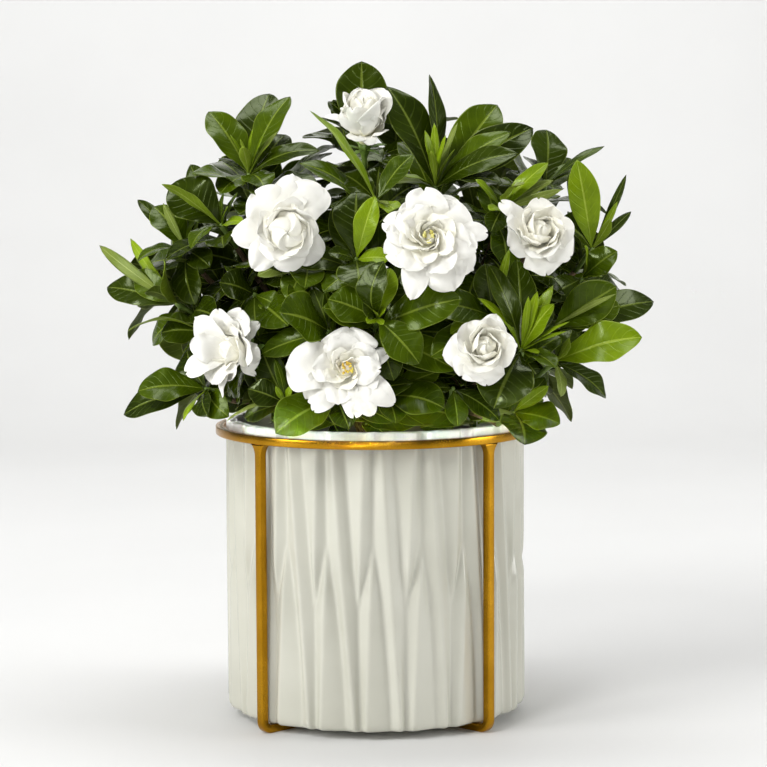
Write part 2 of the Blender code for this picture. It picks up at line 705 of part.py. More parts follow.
def calyxTube(bloom):
    """The green cup and stalk behind a bloom."""
    receptacle, facing, middle, _ = bloom
    facing = unit(facing)
    place = np.array(receptacle, float)
    top = middle * (1 - bloomSink) + clearance
    depths = (stalkLength, 13.0, 8.5, 4.5, top)
    radii = (1.7, 1.9, 3.0, 3.6, 4.4)
    return tubeSolid([place - facing * d for d in depths], radii, 8, facing)


def plantObstacles():
    """Everything that leaves keep clear of."""
    found = []
    for verts, faces in stemTubes():
        found.append(Obstacle("woody_stems", verts, faces))
    for name, (heart, axis, _) in allShoots().items():
        found.append(Obstacle(name, *twigTube(np.array(heart, float), unit(axis))))
    for name, bloom in blooms.items():
        found.append(Obstacle("bloom_" + name, *calyxTube(bloom)))
        for blade in bloomPetals(*bloom):
            petal = bladeSolid(blade, testStations, petalThickness, petalOutline, grow=0.6)
            found.append(Obstacle("bloom_" + name, *petal))
    return found


# ---------------------------------------------------------------- meshes
def makeMaterial(name, colour, roughness, metallic):
    material = bpy.data.materials.new(name + "_finish")
    material.use_nodes = True
    shader = material.node_tree.nodes["Principled BSDF"]
    shader.inputs["Base Color"].default_value = (*colour, 1.0)
    shader.inputs["Roughness"].default_value = roughness
    shader.inputs["Metallic"].default_value = metallic
    return material


def makeObject(name, solids, colour, roughness=0.5, metallic=0.0, smooth=False):
    """One object from one or more closed solids in millimetres. Two or more are fused into one body."""
    first = meshOf(name, solids[:-1] or solids, len(solids) > 1)
    thing = bpy.data.objects.new(name, first)
    bpy.context.scene.collection.objects.link(thing)
    if len(solids) > 1:
        fuse(thing, meshOf(name + "_last", solids[-1:], True))
    for face in thing.data.polygons:
        face.use_smooth = smooth
    thing.data.materials.clear()
    thing.data.materials.append(makeMaterial(name, colour, roughness, metallic))
    return thing


def meshOf(name, solids, flat=False):
    verts = []
    faces = []
    for points, rings in solids:
        shift = len(verts)
        verts += [tuple(p * mm) for p in np.asarray(points, float)]
        faces += [tuple(i + shift for i in ring) for ring in rings]
    mesh = bpy.data.meshes.new(name)
    mesh.from_pydata(verts, [], faces)
    shape = bmesh.new()
    shape.from_mesh(mesh)
    bmesh.ops.recalc_face_normals(shape, faces=shape.faces)
    if len(solids) > 1 or flat:
        bmesh.ops.triangulate(shape, faces=shape.faces)
    shape.to_mesh(mesh)
    shape.free()
    return mesh


def fuse(thing, mesh):
    """Fuses a mesh, and the thing's own overlapping solids, into one closed body."""
    cutter = bpy.data.objects.new(thing.name + "_cutter", mesh)
    cutter.display_type = "WIRE"
    cutter.hide_render = True
    bpy.context.scene.collection.objects.link(cutter)
    union = thing.modifiers.new("fuse", "BOOLEAN")
    union.operation = "UNION"
    union.solver = "EXACT"
    union.use_self = True
    union.object = cutter
    bpy.context.view_layer.update()
    seen = thing.evaluated_get(bpy.context.evaluated_depsgraph_get())
    fused = bpy.data.meshes.new_from_object(seen)
    thing.modifiers.clear()
    thing.data = fused
    bpy.data.objects.remove(cutter, do_unlink=True)
    shape = bmesh.new()
    shape.from_mesh(fused)
    fillPockets(shape)
    bmesh.ops.triangulate(shape, faces=[f for f in shape.faces if len(f.verts) > 4])
    shape.to_mesh(fused)
    shape.free()


def fillPockets(shape):
    """Keeps the outside of a fused body and fills the small closed pockets left inside it."""
    waiting = set(shape.faces)
    groups = []
    while waiting:
        edge = [waiting.pop()]
        group = list(edge)
        while edge:
            for link in edge.pop().edges:
                for face in link.link_faces:
                    if face in waiting:
                        waiting.remove(face)
                        edge.append(face)
                        group.append(face)
        groups.append(group)
    groups.sort(key=len)
    inside = [face for group in groups[:-1] for face in group]
    bmesh.ops.delete(shape, geom=inside, context="FACES")


def latheSolid(profile, segments, radiusAt=None):
    """A closed body turned round Z from a profile of (radius, height), with radius 0 only at its ends."""
    verts = []
    rows = []
    for index, (radius, height) in enumerate(profile):
        if radius == 0:
            rows.append([len(verts)])
            verts.append((0, 0, height))
            continue
        row = []
        for k in range(segments):
            a = 2 * math.pi * k / segments
            r = radiusAt(index, radius, height, a) if radiusAt else radius
            row.append(len(verts))
            verts.append((r * math.sin(a), -r * math.cos(a), height))
        rows.append(row)
    faces = []
    pairs = list(zip(rows, rows[1:]))
    if len(rows[0]) > 1:
        pairs.append((rows[-1], rows[0]))
    for low, high in pairs:
        for k in range(segments):
            n = (k + 1) % segments
            if len(low) == 1:
                faces.append((low[0], high[k], high[n]))
            elif len(high) == 1:
                faces.append((low[k], low[n], high[0]))
            else:
                faces.append((low[k], low[n], high[n], high[k]))
    return np.array(verts, float), faces


# ---------------------------------------------------------------- pot and stand
def fluteRelief(angle, height):
    """Height of the soft flutes pressed in the pot, 0 to 1, at a bearing in radians and a height."""
    pitch = 2 * math.pi * potFootRadius / fluteCount
    share = (potRim - height) / potRim
    here = angle / (2 * math.pi) * fluteCount * pitch
    lean = here - 20 * share
    gaps = [abs((lean + pitch / 2) % pitch - pitch / 2)]
    if height > 86:
        drop = here - 22 + 11 * (potRim - height) / (potRim - 86)
        gaps.append(abs((drop + pitch / 2) % pitch - pitch / 2))
    if height < 130:
        fall = here - 7 + 10 * (130 - height) / 130
        gaps.append(abs((fall + pitch / 2) % pitch - pitch / 2))
    return sum(math.exp(-((gap / fluteHalfWidth) ** 2)) for gap in gaps) / 1.4


def potSolid():
    """The ceramic pot: fluted outside, plain inside, flat underneath."""
    outside = [(potFootRadius - 4, potFloor), (potFootRadius - 1, potFloor + 1.5)]
    outside += [(potFootRadius, potFloor + 5)]
    for height in (60, 120, 175):
        share = (height - potFloor) / (potRim - potFloor)
        outside.append((potFootRadius + (potTopRadius - potFootRadius) * share, height))
    outside += [(potTopRadius, 200), (potTopRadius - 1.2, potRim - 0.6)]
    inside = [(potTopRadius - 3, potRim), (potTopRadius - potWall, potRim - 2.5)]
    inside += [(potFootRadius - potWall - 1, potFloor + 14), (potFootRadius - potWall - 7, potFloor + 6.5)]
    inside += [(0, potFloor + 6.5)]
    relieved = len(outside) - 2

    def radiusAt(index, radius, height, angle):
        if 2 <= index < relieved:
            return radius + fluteHeight * min(1.0, fluteRelief(angle, height))
        return radius + (fluteHeight * 0.4 if index in (1, relieved) else 0)

    profile = [(0, potFloor)] + outside + inside
    return latheSolid(profile, potSegments, lambda i, r, z, a: radiusAt(i - 1, r, z, a))


def ringSolid():
    """The ring of the stand: a square bar round the pot."""
    low = ringHeight - barSize / 2
    high = ringHeight + barSize / 2
    outer = ringInner + barSize
    return latheSolid([(ringInner, low), (outer, low), (outer, high), (ringInner, high)], 60)


def legBarSolids(bearing):
    """A square bar bent to two legs and the cross bar between them, with a widened weld at each top."""
    top = ringHeight - barSize / 2 - clearance
    outer = legInner + barSize
    steps = 5
    half = []
    for k in range(steps + 1):
        a = math.pi / 2 * k / steps
        half.append((outer - bendRadius + bendRadius * math.sin(a), bendRadius - bendRadius * math.cos(a)))
    inner = []
    radius = bendRadius - barSize
    for k in range(steps + 1):
        a = math.pi / 2 * k / steps
        inner.append((outer - bendRadius + radius * math.sin(a), bendRadius - radius * math.cos(a)))
    outline = [(-r, z) for r, z in reversed(half)] + half
    outline += [(outer, top), (legInner, top)] + list(reversed(inner)) + [(-r, z) for r, z in inner]
    outline += [(-legInner, top), (-outer, top)]
    turn = math.radians(bearing)
    out = np.array([math.sin(turn), -math.cos(turn), 0.0])
    side = np.array([math.cos(turn), math.sin(turn), 0.0])
    up = np.array([0.0, 0.0, 1.0])
    solids = [prism([out * r + up * z for r, z in outline], side, barSize)]
    flare = [(-barSize / 2, top - 7), (barSize / 2, top - 7)]
    flare += [(barSize / 2 + 3.6, top), (-barSize / 2 - 3.6, top)]
    for end in (-1, 1):
        middle = out * end * (legInner + barSize / 2)
        solids.append(prism([middle + side * s + up * z for s, z in flare], out, barSize - 0.4))
    return solids


def prism(outline, direction, depth):
    """A flat outline made thick, half to each side of it."""
    count = len(outline)
    verts = [p - direction * depth / 2 for p in outline] + [p + direction * depth / 2 for p in outline]
    faces = [tuple(range(count)), tuple(reversed(range(count, 2 * count)))]
    faces += [(k, (k + 1) % count, count + (k + 1) % count, count + k) for k in range(count)]
    return np.array(verts), faces


def growerSolid():
    """The thin nursery pot that holds the root ball inside the ceramic pot."""
    low = potFloor + 6.5 + clearance
    profile = [(0, low), (growerFootRadius, low), (growerTopRadius, growerRim - 5)]
    profile += [(growerTopRadius + 1.6, growerRim - 5)]
    profile += [(growerTopRadius + 1.6, growerRim), (growerTopRadius - growerWall, growerRim)]
    profile += [(growerFootRadius - growerWall, low + growerWall), (0, low + growerWall)]
    return latheSolid(profile, 36)


def soilSolid():
    """The potting mix, with an uneven top and a well that the root crown stands in."""
    low = potFloor + 6.5 + growerWall + 2 * clearance
    slope = (growerTopRadius - growerFootRadius) / (growerRim - 5 - low)
    edge = growerFootRadius - growerWall - 2 * clearance
    top = edge + (soilTop - low) * slope - 0.2
    well = crownRadius + clearance
    profile = [(0, low), (edge, low), (top, soilTop - 2), (70, soilTop), (45, soilTop - 0.5), (25, soilTop)]
    profile += [(well, soilTop), (well, soilTop - crownDepth - clearance)]
    profile += [(0, soilTop - crownDepth - clearance)]
    lumps = np.random.default_rng(7).uniform(-1.2, 1.2, (len(profile), 40))

    def radiusAt(index, radius, height, angle):
        return radius + (lumps[index, int(angle / (2 * math.pi) * 40)] if index in (3, 4, 5) else 0)

    verts, faces = latheSolid(profile, 40, radiusAt)
    for index in (3, 4, 5):
        for k in range(40):
            verts[1 + (index - 1) * 40 + k][2] += lumps[index - 1, k]
    return verts, faces


# ---------------------------------------------------------------- building
def build():
    removeEverything()
    white = (0.80, 0.79, 0.75)
    brass = (0.52, 0.30, 0.04)
    leafColours = ((0.018, 0.060, 0.006), (0.045, 0.130, 0.008), (0.160, 0.300, 0.010), (0.110, 0.170, 0.040))
    makeObject("ceramic_pot", [potSolid()], white, 0.2, smooth=True)
    makeObject("stand_ring", [ringSolid()], brass, 0.3, 1.0)
    makeObject("stand_legs", legBarSolids(legBearings[0]) + legBarSolids(legBearings[1]), brass, 0.3, 1.0)
    makeObject("grower_pot", [growerSolid()], (0.02, 0.02, 0.02), 0.6)
    makeObject("potting_mix", [soilSolid()], (0.03, 0.017, 0.008), 0.95)
    makeObject("woody_stems", stemTubes(), (0.12, 0.07, 0.03), 0.85)
    for name, bloom in blooms.items():
        makeObject("bloom_" + name, bloomSolids(bloom), (0.86, 0.84, 0.77), 0.5)
        makeObject("calyx_" + name, [calyxTube(bloom)], (0.10, 0.20, 0.02), 0.5)
    settled, dropped = settlePlant(plantObstacles())
    for name, (heart, axis, leaves) in settled.items():
        solids = []
        for blade, tone in leaves:
            stations = farStations if name in farShoots else leafStations
            stations = stations if blade["width"] >= narrowLeaf else smallStations
            solids.append(bladeSolid(blade, stations, leafThickness, leafOutline))
        tones = [tone for blade, tone in leaves if blade["width"] >= narrowLeaf] or [1]
        main = max(set(tones), key=tones.count)
        solids += [twigTube(heart, axis), nodeSolid(heart, axis)]
        makeObject(name, solids, leafColours[main], 0.35)
    print("leaves left out:", dropped)


build()
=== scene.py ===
import math

import bpy
import numpy as np
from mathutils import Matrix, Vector
from mathutils.bvhtree import BVHTree


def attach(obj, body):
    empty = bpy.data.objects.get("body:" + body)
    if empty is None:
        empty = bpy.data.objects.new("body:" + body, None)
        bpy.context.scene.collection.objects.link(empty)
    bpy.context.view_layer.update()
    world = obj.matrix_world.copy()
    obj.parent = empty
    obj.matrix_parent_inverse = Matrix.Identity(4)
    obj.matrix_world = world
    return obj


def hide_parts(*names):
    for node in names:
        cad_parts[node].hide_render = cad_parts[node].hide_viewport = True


# A potted gardenia: fluted white pot in a gold bar stand, with its leaves, blooms, stems and soil.
# Places and sizes below are in millimetres, measured from the floor under the middle of the pot.
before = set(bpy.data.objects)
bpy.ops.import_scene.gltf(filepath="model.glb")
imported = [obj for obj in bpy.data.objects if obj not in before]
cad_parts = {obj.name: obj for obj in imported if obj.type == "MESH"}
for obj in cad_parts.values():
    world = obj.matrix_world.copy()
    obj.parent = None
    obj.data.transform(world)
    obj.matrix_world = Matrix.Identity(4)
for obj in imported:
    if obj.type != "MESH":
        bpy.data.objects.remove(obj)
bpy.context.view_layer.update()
mm = 0.001

potSizes = {"topRadius": 101.4, "footRadius": 102.0, "floor": 6.0, "rim": 204.0, "wall": 6.0,
            "crestHeight": 1.1, "lipRound": 1.4}
standSizes = {"bar": 5.6, "ringInner": 103.5, "ringHeight": 196.5, "legInner": 103.4, "bend": 9.0,
              "legBearings": (45.0, 135.0), "rounding": 0.7}
soilSizes = {"top": 181.0, "radius": 87.5, "growerTop": 91.0, "growerFoot": 82.0, "growerWall": 1.4,
             "growerRim": 190.0, "crownRadius": 11.0, "crownDepth": 45.0, "chips": 420}

# shared by the layout of the plant
potTopRadius = potSizes["topRadius"]
potWall = potSizes["wall"]
potRim = potSizes["rim"]
barSize = standSizes["bar"]
ringInner = standSizes["ringInner"]
ringHeight = standSizes["ringHeight"]
soilTop = soilSizes["top"]
crownRadius = soilSizes["crownRadius"]
crownDepth = soilSizes["crownDepth"]
clearance = 0.3  # between a branch and the twig or stalk that grows from it
twigRadius = 1.7
nodeRadius = 3.4
twigLength = 20.0
stalkLength = 22.0
limbRadii = (4.2, 2.6)
branchRadii = (2.3, 2.0, 1.7)
bloomSink = 0.95  # how much of its radius the closed middle sits above the receptacle
petalSpring = 2.5
leafThickness = 1.3
petalThickness = 1.6
leafGap = 0.45  # kept free round a leaf while it settles
petalGap = 0.6
narrowLeaf = 10.0  # narrower ones have no side veins
fineLimb = 26  # points along a limb in the finished stems
testStations = (0.0, 0.16, 0.35, 0.55, 0.8, 1.0)
outerStations = (0.3, 0.34, 0.55, 0.8, 1.0)

# (lean from the axis in degrees, length, width, tone) of the whorls of a far shoot
farWhorlKinds = ((78, 60, 29, 0), (48, 56, 26, 1), (16, 26, 8, 2))

# A leaf is (right, back, up, width, roll, arch, tone): its tip measured from the heart of its shoot,
# its width, its turn about its own length in degrees, how far it bows, and how young it is:
# 0 old and dark, 1 full green, 2 young and bright, 3 pale underside or grey sheen.
shoots = {
    "shoot_top_left": ((-83, -35, 370), (-0.1, -0.35, 0.93), [
        (-27, 14, 43, 26, 0, 0.06, 1), (11, 30, 58, 31, 0, 0.08, 0), (29, 24, 50, 22, 0, 0.08, 1),
        (47, -12, 17, 18, 20, 0.12, 0), (-18, -18, -12, 22, 0, 0.1, 1), (12, -26, -8, 22, 0, 0.12, 1),
        (-21, 12, 11, 8, 0, 0.05, 0), (-12, -8, 27, 5, 0, 0.04, 2), (-5, -13, 24, 4, 0, 0.04, 3),
        (1, -10, 31, 5, 0, 0.04, 2), (-3, -17, 19, 8, 0, 0.04, 2), (12, -8, 29, 6, 0, 0.04, 2),
        (15, -14, 21, 4, 0, 0.04, 2), (20, -4, 29, 7, 0, 0.04, 3)]),
    "shoot_left_shoulder": ((-100, -58, 337), (-0.45, -0.5, 0.74), [
        (-34, 6, 27, 35, 0, 0.1, 0), (-40, -22, 26, 10, 60, 0.04, 3), (-23, 26, 41, 15, 0, 0.08, 0),
        (2, -8, 22, 7, 0, 0.04, 1), (11, -4, 22, 6, 0, 0.04, 1), (5, -14, 13, 5, 0, 0.04, 2),
        (-19, -24, -13, 15, 0, 0.14, 1), (15, -14, 3, 10, 0, 0.1, 2)]),
    "shoot_left": ((-130, -55, 285), (-0.75, -0.45, 0.48), [
        (-6, -27, 29, 26, 0, 0.06, 2), (-55, 33, 38, 9, 0, 0.1, 3), (-33, 23, 43, 9, 0, 0.05, 2),
        (-32, 15, 22, 19, 0, 0.1, 1), (-50, 24, 11, 20, 0, 0.08, 0), (-20, -16, 10, 11, 0, 0.14, 1),
        (10, 12, -22, 24, 0, 0.1, 0)]),
    "shoot_left_upper": ((-124, -50, 321), (-0.5, -0.35, 0.79), [
        (-22, 10, 29, 24, 30, 0.06, 1), (-15, -2, 31, 6, 0, 0.04, 3), (-7, 22, 31, 24, 0, 0.08, 1),
        (5, 12, 25, 15, 0, 0.06, 0), (-35, 28, 33, 10, 0, 0.06, 0), (-33, -4, -7, 14, 0, 0.15, 1),
        (-1, -14, -38, 22, 0, 0.12, 0), (15, -18, -12, 18, 0, 0.1, 0)]),
    "shoot_left_low": ((-112, -62, 267), (-0.8, -0.4, 0.35), [
        (-50, -7, 2, 11, 40, 0.16, 3), (-37, -6, -8, 31, 0, 0.1, 0)]),
    "shoot_lower_left": ((-110, -72, 230), (-0.72, -0.5, 0.4), [
        (-45, -6, 0, 26, 0, 0.1, 1), (-57, 12, -17, 23, 0, 0.08, 0), (15, -27, -15, 19, 0, 0.14, 1),
        (2, -26, -15, 17, 0, 0.14, 0), (-13, -16, -21, 7, 0, 0.08, 2), (-15, 25, 25, 24, 0, 0.1, 0)]),
    "shoot_left_front": ((-57, -108, 224), (-0.25, -0.8, 0.5), [
        (-6, -7, 12, 4, 0, 0.04, 2), (4, -4, 12, 5, 0, 0.04, 2), (-38, -5, -11, 7, 40, 0.12, 3),
        (-27, 6, -10, 14, 0, 0.1, 0), (-24, -3, 10, 19, 0, 0.12, 0), (-7, 1, 29, 6, 30, 0.12, 1)]),
    "shoot_low_front": ((-24, -104, 226), (-0.1, -0.8, 0.6), [
        (-41, -20, -16, 31, 0, 0.12, 1), (36, -8, -14, 15, 0, 0.1, 0), (8, -22, -16, 18, 0, 0.12, 0)]),
    "shoot_low_middle": ((6, -98, 227), (0.3, -0.75, 0.6), [
        (39, -20, -5, 29, 0, 0.12, 1), (37, 0, 17, 17, 0, 0.08, 1), (8, -24, -14, 20, 0, 0.14, 0)]),
    "shoot_centre": ((2, -114, 279), (0.05, -0.86, 0.5), [
        (4, -12, 37, 22, -35, 0.24, 0), (-10, -13, 13, 15, 0, 0.12, 0), (-31, -4, 13, 26, 0, 0.08, 1),
        (27, -13, -28, 26, 0, 0.1, 1), (9, 8, 32, 16, 0, 0.1, 2), (-5, -14, 0, 7, 0, 0.06, 2),
        (4, -16, -3, 5, 0, 0.06, 2), (-2, -16, 6, 5, 0, 0.06, 2), (5, -13, 8, 6, 0, 0.06, 2)]),
    "shoot_centre_left": ((-29, -106, 270), (-0.3, -0.8, 0.5), [
        (-30, -26, 19, 37, 0, 0.08, 1), (-44, 3, -14, 19, 0, 0.06, 1), (-2, -6, 27, 9, 60, 0.06, 1),
        (6, -14, -20, 18, 0, 0.1, 0)]),
    "shoot_under_bloom": ((-42, -86, 312), (0.1, -0.75, 0.65), [
        (-2, -24, -13, 22, 0, 0.14, 1), (-12, -17, -22, 21, 20, 0.12, 1), (-33, -9, -6, 14, 0, 0.14, 3),
        (12, -14, -19, 9, 0, 0.08, 1)]),
    "shoot_left_middle": ((-78, -72, 292), (-0.4, -0.75, 0.52), [
        (-22, -12, 9, 24, 0, 0.1, 0), (-20, 2, 19, 9, 40, 0.06, 1), (18, -12, -8, 15, 0, 0.1, 1),
        (4, -14, -27, 18, 0, 0.1, 0)]),
    "shoot_centre_up": ((-11, -98, 316), (-0.05, -0.8, 0.6), [
        (12, -10, 41, 16, 0, 0.04, 2), (0, 18, 44, 30, 0, 0.08, 0), (3, -29, -20, 31, 0, 0.1, 0),
        (21, -7, 1, 15, 0, 0.1, 2), (-18, -9, 5, 11, 0, 0.1, 0)]),
    "shoot_crown_front": ((2, -72, 353), (0.05, -0.6, 0.8), [
        (-43, 16, 60, 14, 30, 0.06, 2), (24, 2, 31, 17, 0, 0.08, 1), (16, -17, -9, 13, 0, 0.08, 2),
        (8, -14, -2, 4, 0, 0.06, 3), (-22, 8, 18, 22, 0, 0.08, 0)]),
    "shoot_crown_back": ((-8, 8, 388), (0.0, -0.15, 0.99), [
        (0, 16, 59, 35, 0, 0.06, 0), (15, 18, 42, 18, 0, 0.1, 0), (-15, 6, 38, 20, 0, 0.08, 0),
        (-28, -6, 23, 11, 0, 0.1, 0), (4, -32, -14, 25, 0, 0.12, 0), (-40, -18, -9, 13, 0, 0.1, 0),
        (-33, 24, 28, 18, 0, 0.42, 0)]),
    "shoot_crown_right": ((41, -45, 361), (0.05, -0.35, 0.93), [
        (-31, 16, 68, 30, 0, 0.06, 0), (-2, 26, 76, 17, 45, 0.04, 0), (43, 30, 56, 29, 34, 0.1, 1),
        (66, 16, 40, 29, 42, 0.1, 0), (48, -4, 39, 21, 20, 0.06, 1), (54, -19, 25, 21, 34, 0.1, 0),
        (41, -26, 12, 19, 0, 0.1, 0), (-4, 22, 52, 12, 0, 0.06, 0), (-7, -6, 38, 7, 0, 0.04, 2),
        (0, 0, 43, 6, 0, 0.04, 2), (7, -11, 35, 6, 0, 0.04, 2), (15, -2, 43, 5, 0, 0.04, 3),
        (8, -13, 28, 9, 0, 0.04, 2), (-2, -14, 26, 6, 0, 0.04, 2), (-22, -20, 8, 9, 0, 0.08, 2),
        (-27, -14, 4, 10, 0, 0.08, 3)]),
    "shoot_upper_right": ((116, -12, 362), (0.35, -0.2, 0.91), [
        (3, 28, 38, 26, 0, 0.06, 0), (27, 20, 18, 19, 0, 0.1, 1), (41, 10, 26, 9, 0, 0.05, 1),
        (-27, -2, 8, 19, 0, 0.1, 0), (-14, 12, 20, 15, 0, 0.08, 0), (4, -26, -4, 17, 0, 0.1, 0)]),
    "shoot_right_front": ((84, -66, 347), (0.2, -0.6, 0.77), [
        (30, 0, 31, 13, 0, 0.06, 2), (13, -21, 18, 15, 0, 0.12, 3), (-17, -9, 22, 9, 0, 0.06, 2),
        (-9, -18, 0, 9, 0, 0.08, 2), (39, -9, 13, 6, 50, 0.08, 3), (34, 0, 19, 9, 0, 0.06, 3),
        (-8, -20, -14, 15, 0, 0.1, 0)]),
    "shoot_right_tall": ((146, -32, 319), (0.55, -0.35, 0.76), [
        (-11, -13, 60, 21, -65, 0.05, 2), (-22, -9, 20, 30, -30, 0.1, 0), (25, 22, 50, 6, 0, 0.04, 0),
        (18, 10, 32, 5, 0, 0.04, 2), (28, 17, 25, 7, 0, 0.04, 0), (12, -13, 21, 8, 0, 0.04, 2),
        (-14, 12, 52, 14, -40, 0.06, 0)]),
    "shoot_right_upper": ((138, -44, 300), (0.7, -0.45, 0.55), [
        (23, -6, 19, 21, -40, 0.06, 1), (2, -16, 23, 10, 0, 0.06, 2), (13, -8, 3, 9, 0, 0.08, 2),
        (28, 24, -8, 13, 0, 0.1, 0), (-24, -25, -11, 18, 0, 0.1, 0)]),
    "shoot_right_middle": ((117, -72, 270), (0.6, -0.62, 0.5), [
        (41, -8, 27, 27, 0, 0.08, 1), (45, 3, 14, 23, 0, 0.08, 1), (73, 46, 15, 22, 0, 0.06, 0),
        (40, -21, 23, 4, 0, 0.04, 3)]),
    "shoot_right_low": ((95, -104, 257), (0.15, -0.5, 0.85), [
        (-2, 14, 59, 21, 0, 0.05, 0), (-24, 5, 55, 19, 0, 0.06, 0), (-29, -8, 35, 9, 0, 0.12, 2),
        (20, -8, 31, 17, 0, 0.06, 2), (19, -3, 43, 9, 0, 0.05, 2), (10, -6, 39, 7, 0, 0.04, 2),
        (4, -9, 36, 5, 0, 0.04, 2), (30, -16, 20, 5, 0, 0.04, 2), (28, -19, 14, 5, 0, 0.04, 2),
        (10, -20, 0, 7, 0, 0.06, 2), (21, -22, -9, 17, 0, 0.1, 1), (-19, -27, -34, 37, 0, 0.1, 0)]),
    "shoot_right_leaf": ((118, -82, 248), (0.6, -0.55, 0.58), [
        (55, -13, 18, 31, 0, 0.06, 2), (34, -3, -23, 22, 0, 0.08, 0), (3, -18, -21, 10, 0, 0.08, 3),
        (8, -24, 17, 7, 0, 0.05, 3), (12, 2, 21, 19, 0, 0.08, 0)]),
    "shoot_low_right": ((90, -92, 216), (0.45, -0.75, 0.48), [
        (30, -13, -6, 24, 0, 0.08, 1), (7, -22, -18, 34, 0, 0.14, 0), (23, -8, 18, 9, 0, 0.06, 2),
        (-21, -18, -3, 9, 0, 0.1, 3)]),
    "shoot_right_foot": ((51, -98, 232), (0.1, -0.75, 0.65), [
        (3, -9, -23, 15, 0, 0.06, 1), (30, -11, -19, 18, 0, 0.1, 0), (-16, -12, 2, 10, 0, 0.1, 0)]),
    "shoot_centre_right": ((77, -100, 279), (-0.1, -0.75, 0.65), [
        (-45, -12, 10, 28, 0, 0.08, 1), (17, 4, 42, 6, 0, 0.04, 2), (-5, 5, 34, 19, 0, 0.08, 0),
        (-28, -11, -10, 17, 0, 0.1, 2), (-36, -5, -22, 13, 0, 0.08, 0)]),
}

# The far side is filled by rule: (bearing from the front in degrees, reach, height, leaves in a whorl).
farShoots = {
    "shoot_far_top": (165, 55, 378, 3),
    "shoot_far_upper_left": (235, 98, 345, 3),
    "shoot_far_upper_right": (125, 96, 342, 3),
    "shoot_far_left": (262, 132, 292, 3),
    "shoot_far_right": (98, 130, 300, 3),
    "shoot_far_middle_left": (213, 118, 295, 3),
    "shoot_far_middle_right": (150, 116, 300, 3),
    "shoot_far_low_left": (245, 112, 236, 3),
    "shoot_far_low_middle": (182, 108, 240, 3),
    "shoot_far_low_right": (118, 110, 238, 3),
}

# A bloom is its receptacle, the way it faces, the size of its closed middle, and its outer petals,
# each (right, back, up, width, arch) with the tip measured from the receptacle.
blooms = {
    "crown": ((-6, -35, 392), (0.0, -0.45, 0.9), 10.0, [
        (-1, -8, 34, 26, 0.02), (-13, -14, 22, 20, 0.0), (12, -10, 24, 20, 0.0), (13, -16, 8, 17, -0.1),
        (4, -20, -1, 13, 0.1), (-8, -18, 3, 18, 0.0), (-25, -6, 19, 8, 0.05)]),
    "upper_left": ((-57, -102, 337), (0.1, -0.97, -0.1), 16.0, [
        (6, -5, 34, 29, 0.06), (-20, -8, 23, 35, 0.06), (-34, -7, -5, 27, 0.08), (-20, -10, -27, 25, 0.08),
        (4, -12, -28, 27, 0.08), (25, -3, 27, 33, 0.06), (24, -8, -19, 27, 0.06)]),
    "upper_middle": ((35, -120, 329), (0.0, -0.96, 0.25), 16.0, [
        (-3, -9, 34, 30, 0.06), (20, -8, 25, 34, 0.06), (37, -13, 6, 15, 0.04), (30, -17, -5, 24, 0.08),
        (28, -11, -18, 22, 0.08), (16, -13, -31, 30, 0.08), (-12, -15, -36, 21, 0.06),
        (-28, -13, -8, 27, 0.08), (-29, -8, 13, 19, 0.06), (-17, -14, 19, 26, 0.06)]),
    "upper_right": ((104, -96, 328), (0.2, -0.85, 0.45), 15.0, [
        (-21, -8, 26, 15, 0.0), (7, -2, 27, 30, 0.04), (20, -5, 13, 27, 0.06), (24, -8, -10, 29, 0.08),
        (8, -13, -22, 33, 0.08), (-17, -13, -3, 28, 0.02)]),
    "left": ((-83, -94, 257), (-0.7, -0.68, 0.15), 14.0, [
        (-32, -16, 21, 21, 0.08), (-19, -14, 27, 26, 0.06), (-4, -16, 28, 25, 0.06),
        (8, -10, 20, 15, 0.08), (9, -17, -4, 21, 0.08), (-34, -19, 6, 22, 0.06), (-40, -14, -11, 21, 0.1),
        (-22, -18, -18, 23, 0.08), (-17, -14, -28, 9, 0.12), (6, -12, -16, 9, 0.16)]),
    "lower_middle": ((-18, -120, 246), (0.1, -0.95, 0.2), 13.0, [
        (-38, -9, 4, 37, 0.08), (-25, -12, -18, 25, 0.08), (-20, -17, -24, 15, 0.06),
        (3, -3, 29, 37, 0.06), (-18, -6, 16, 25, 0.06), (28, -5, 12, 13, 0.06), (6, -20, -28, 17, 0.1),
        (18, -20, -26, 18, 0.1), (32, -16, -19, 20, 0.1), (22, -17, 3, 21, 0.08)]),
    "lower_right": ((69, -122, 258), (0.1, -0.93, 0.3), 11.0, [
        (-25, -7, -1, 27, 0.04), (-7, -2, 20, 25, 0.02), (9, -2, 24, 21, 0.02), (18, -9, 1, 21, 0.04),
        (3, -14, -20, 32, 0.06), (-14, -11, -15, 27, 0.06)]),
}

# Stems rise from the crown of the root ball as limbs: (bearing in degrees, reach, height).
limbs = {
    "front": (5, 62, 262),
    "frontLeft": (-48, 66, 262),
    "frontRight": (52, 64, 262),
    "backLeft": (-125, 62, 268),
    "backRight": (128, 62, 268),
    "middle": (-20, 14, 322),
}


def unit(v):
    v = np.asarray(v, float)
    return v / np.linalg.norm(v)


# The blooms again, with their places and facings ready to reckon with.
blooms = {name: (np.array(receptacle, float), unit(facing), middle, petals)
          for name, (receptacle, facing, middle, petals) in blooms.items()}


# The level way out from the middle at a bearing in degrees from the front.
def outward(bearing):
    turn = math.radians(bearing)
    return np.array([math.sin(turn), -math.cos(turn), 0.0])


# v turned about axis.
def spin(v, axis, degrees):
    a = math.radians(degrees)
    v = np.asarray(v, float)
    return v * math.cos(a) + np.cross(axis, v) * math.sin(a) + axis * (axis @ v) * (1 - math.cos(a))


# Half width of a leaf along its length: a narrow stalk, widest past the middle, a drawn-out tip.
def leafOutline(t):
    return t**1.25 * (1 - t) ** 0.85 / 0.2373


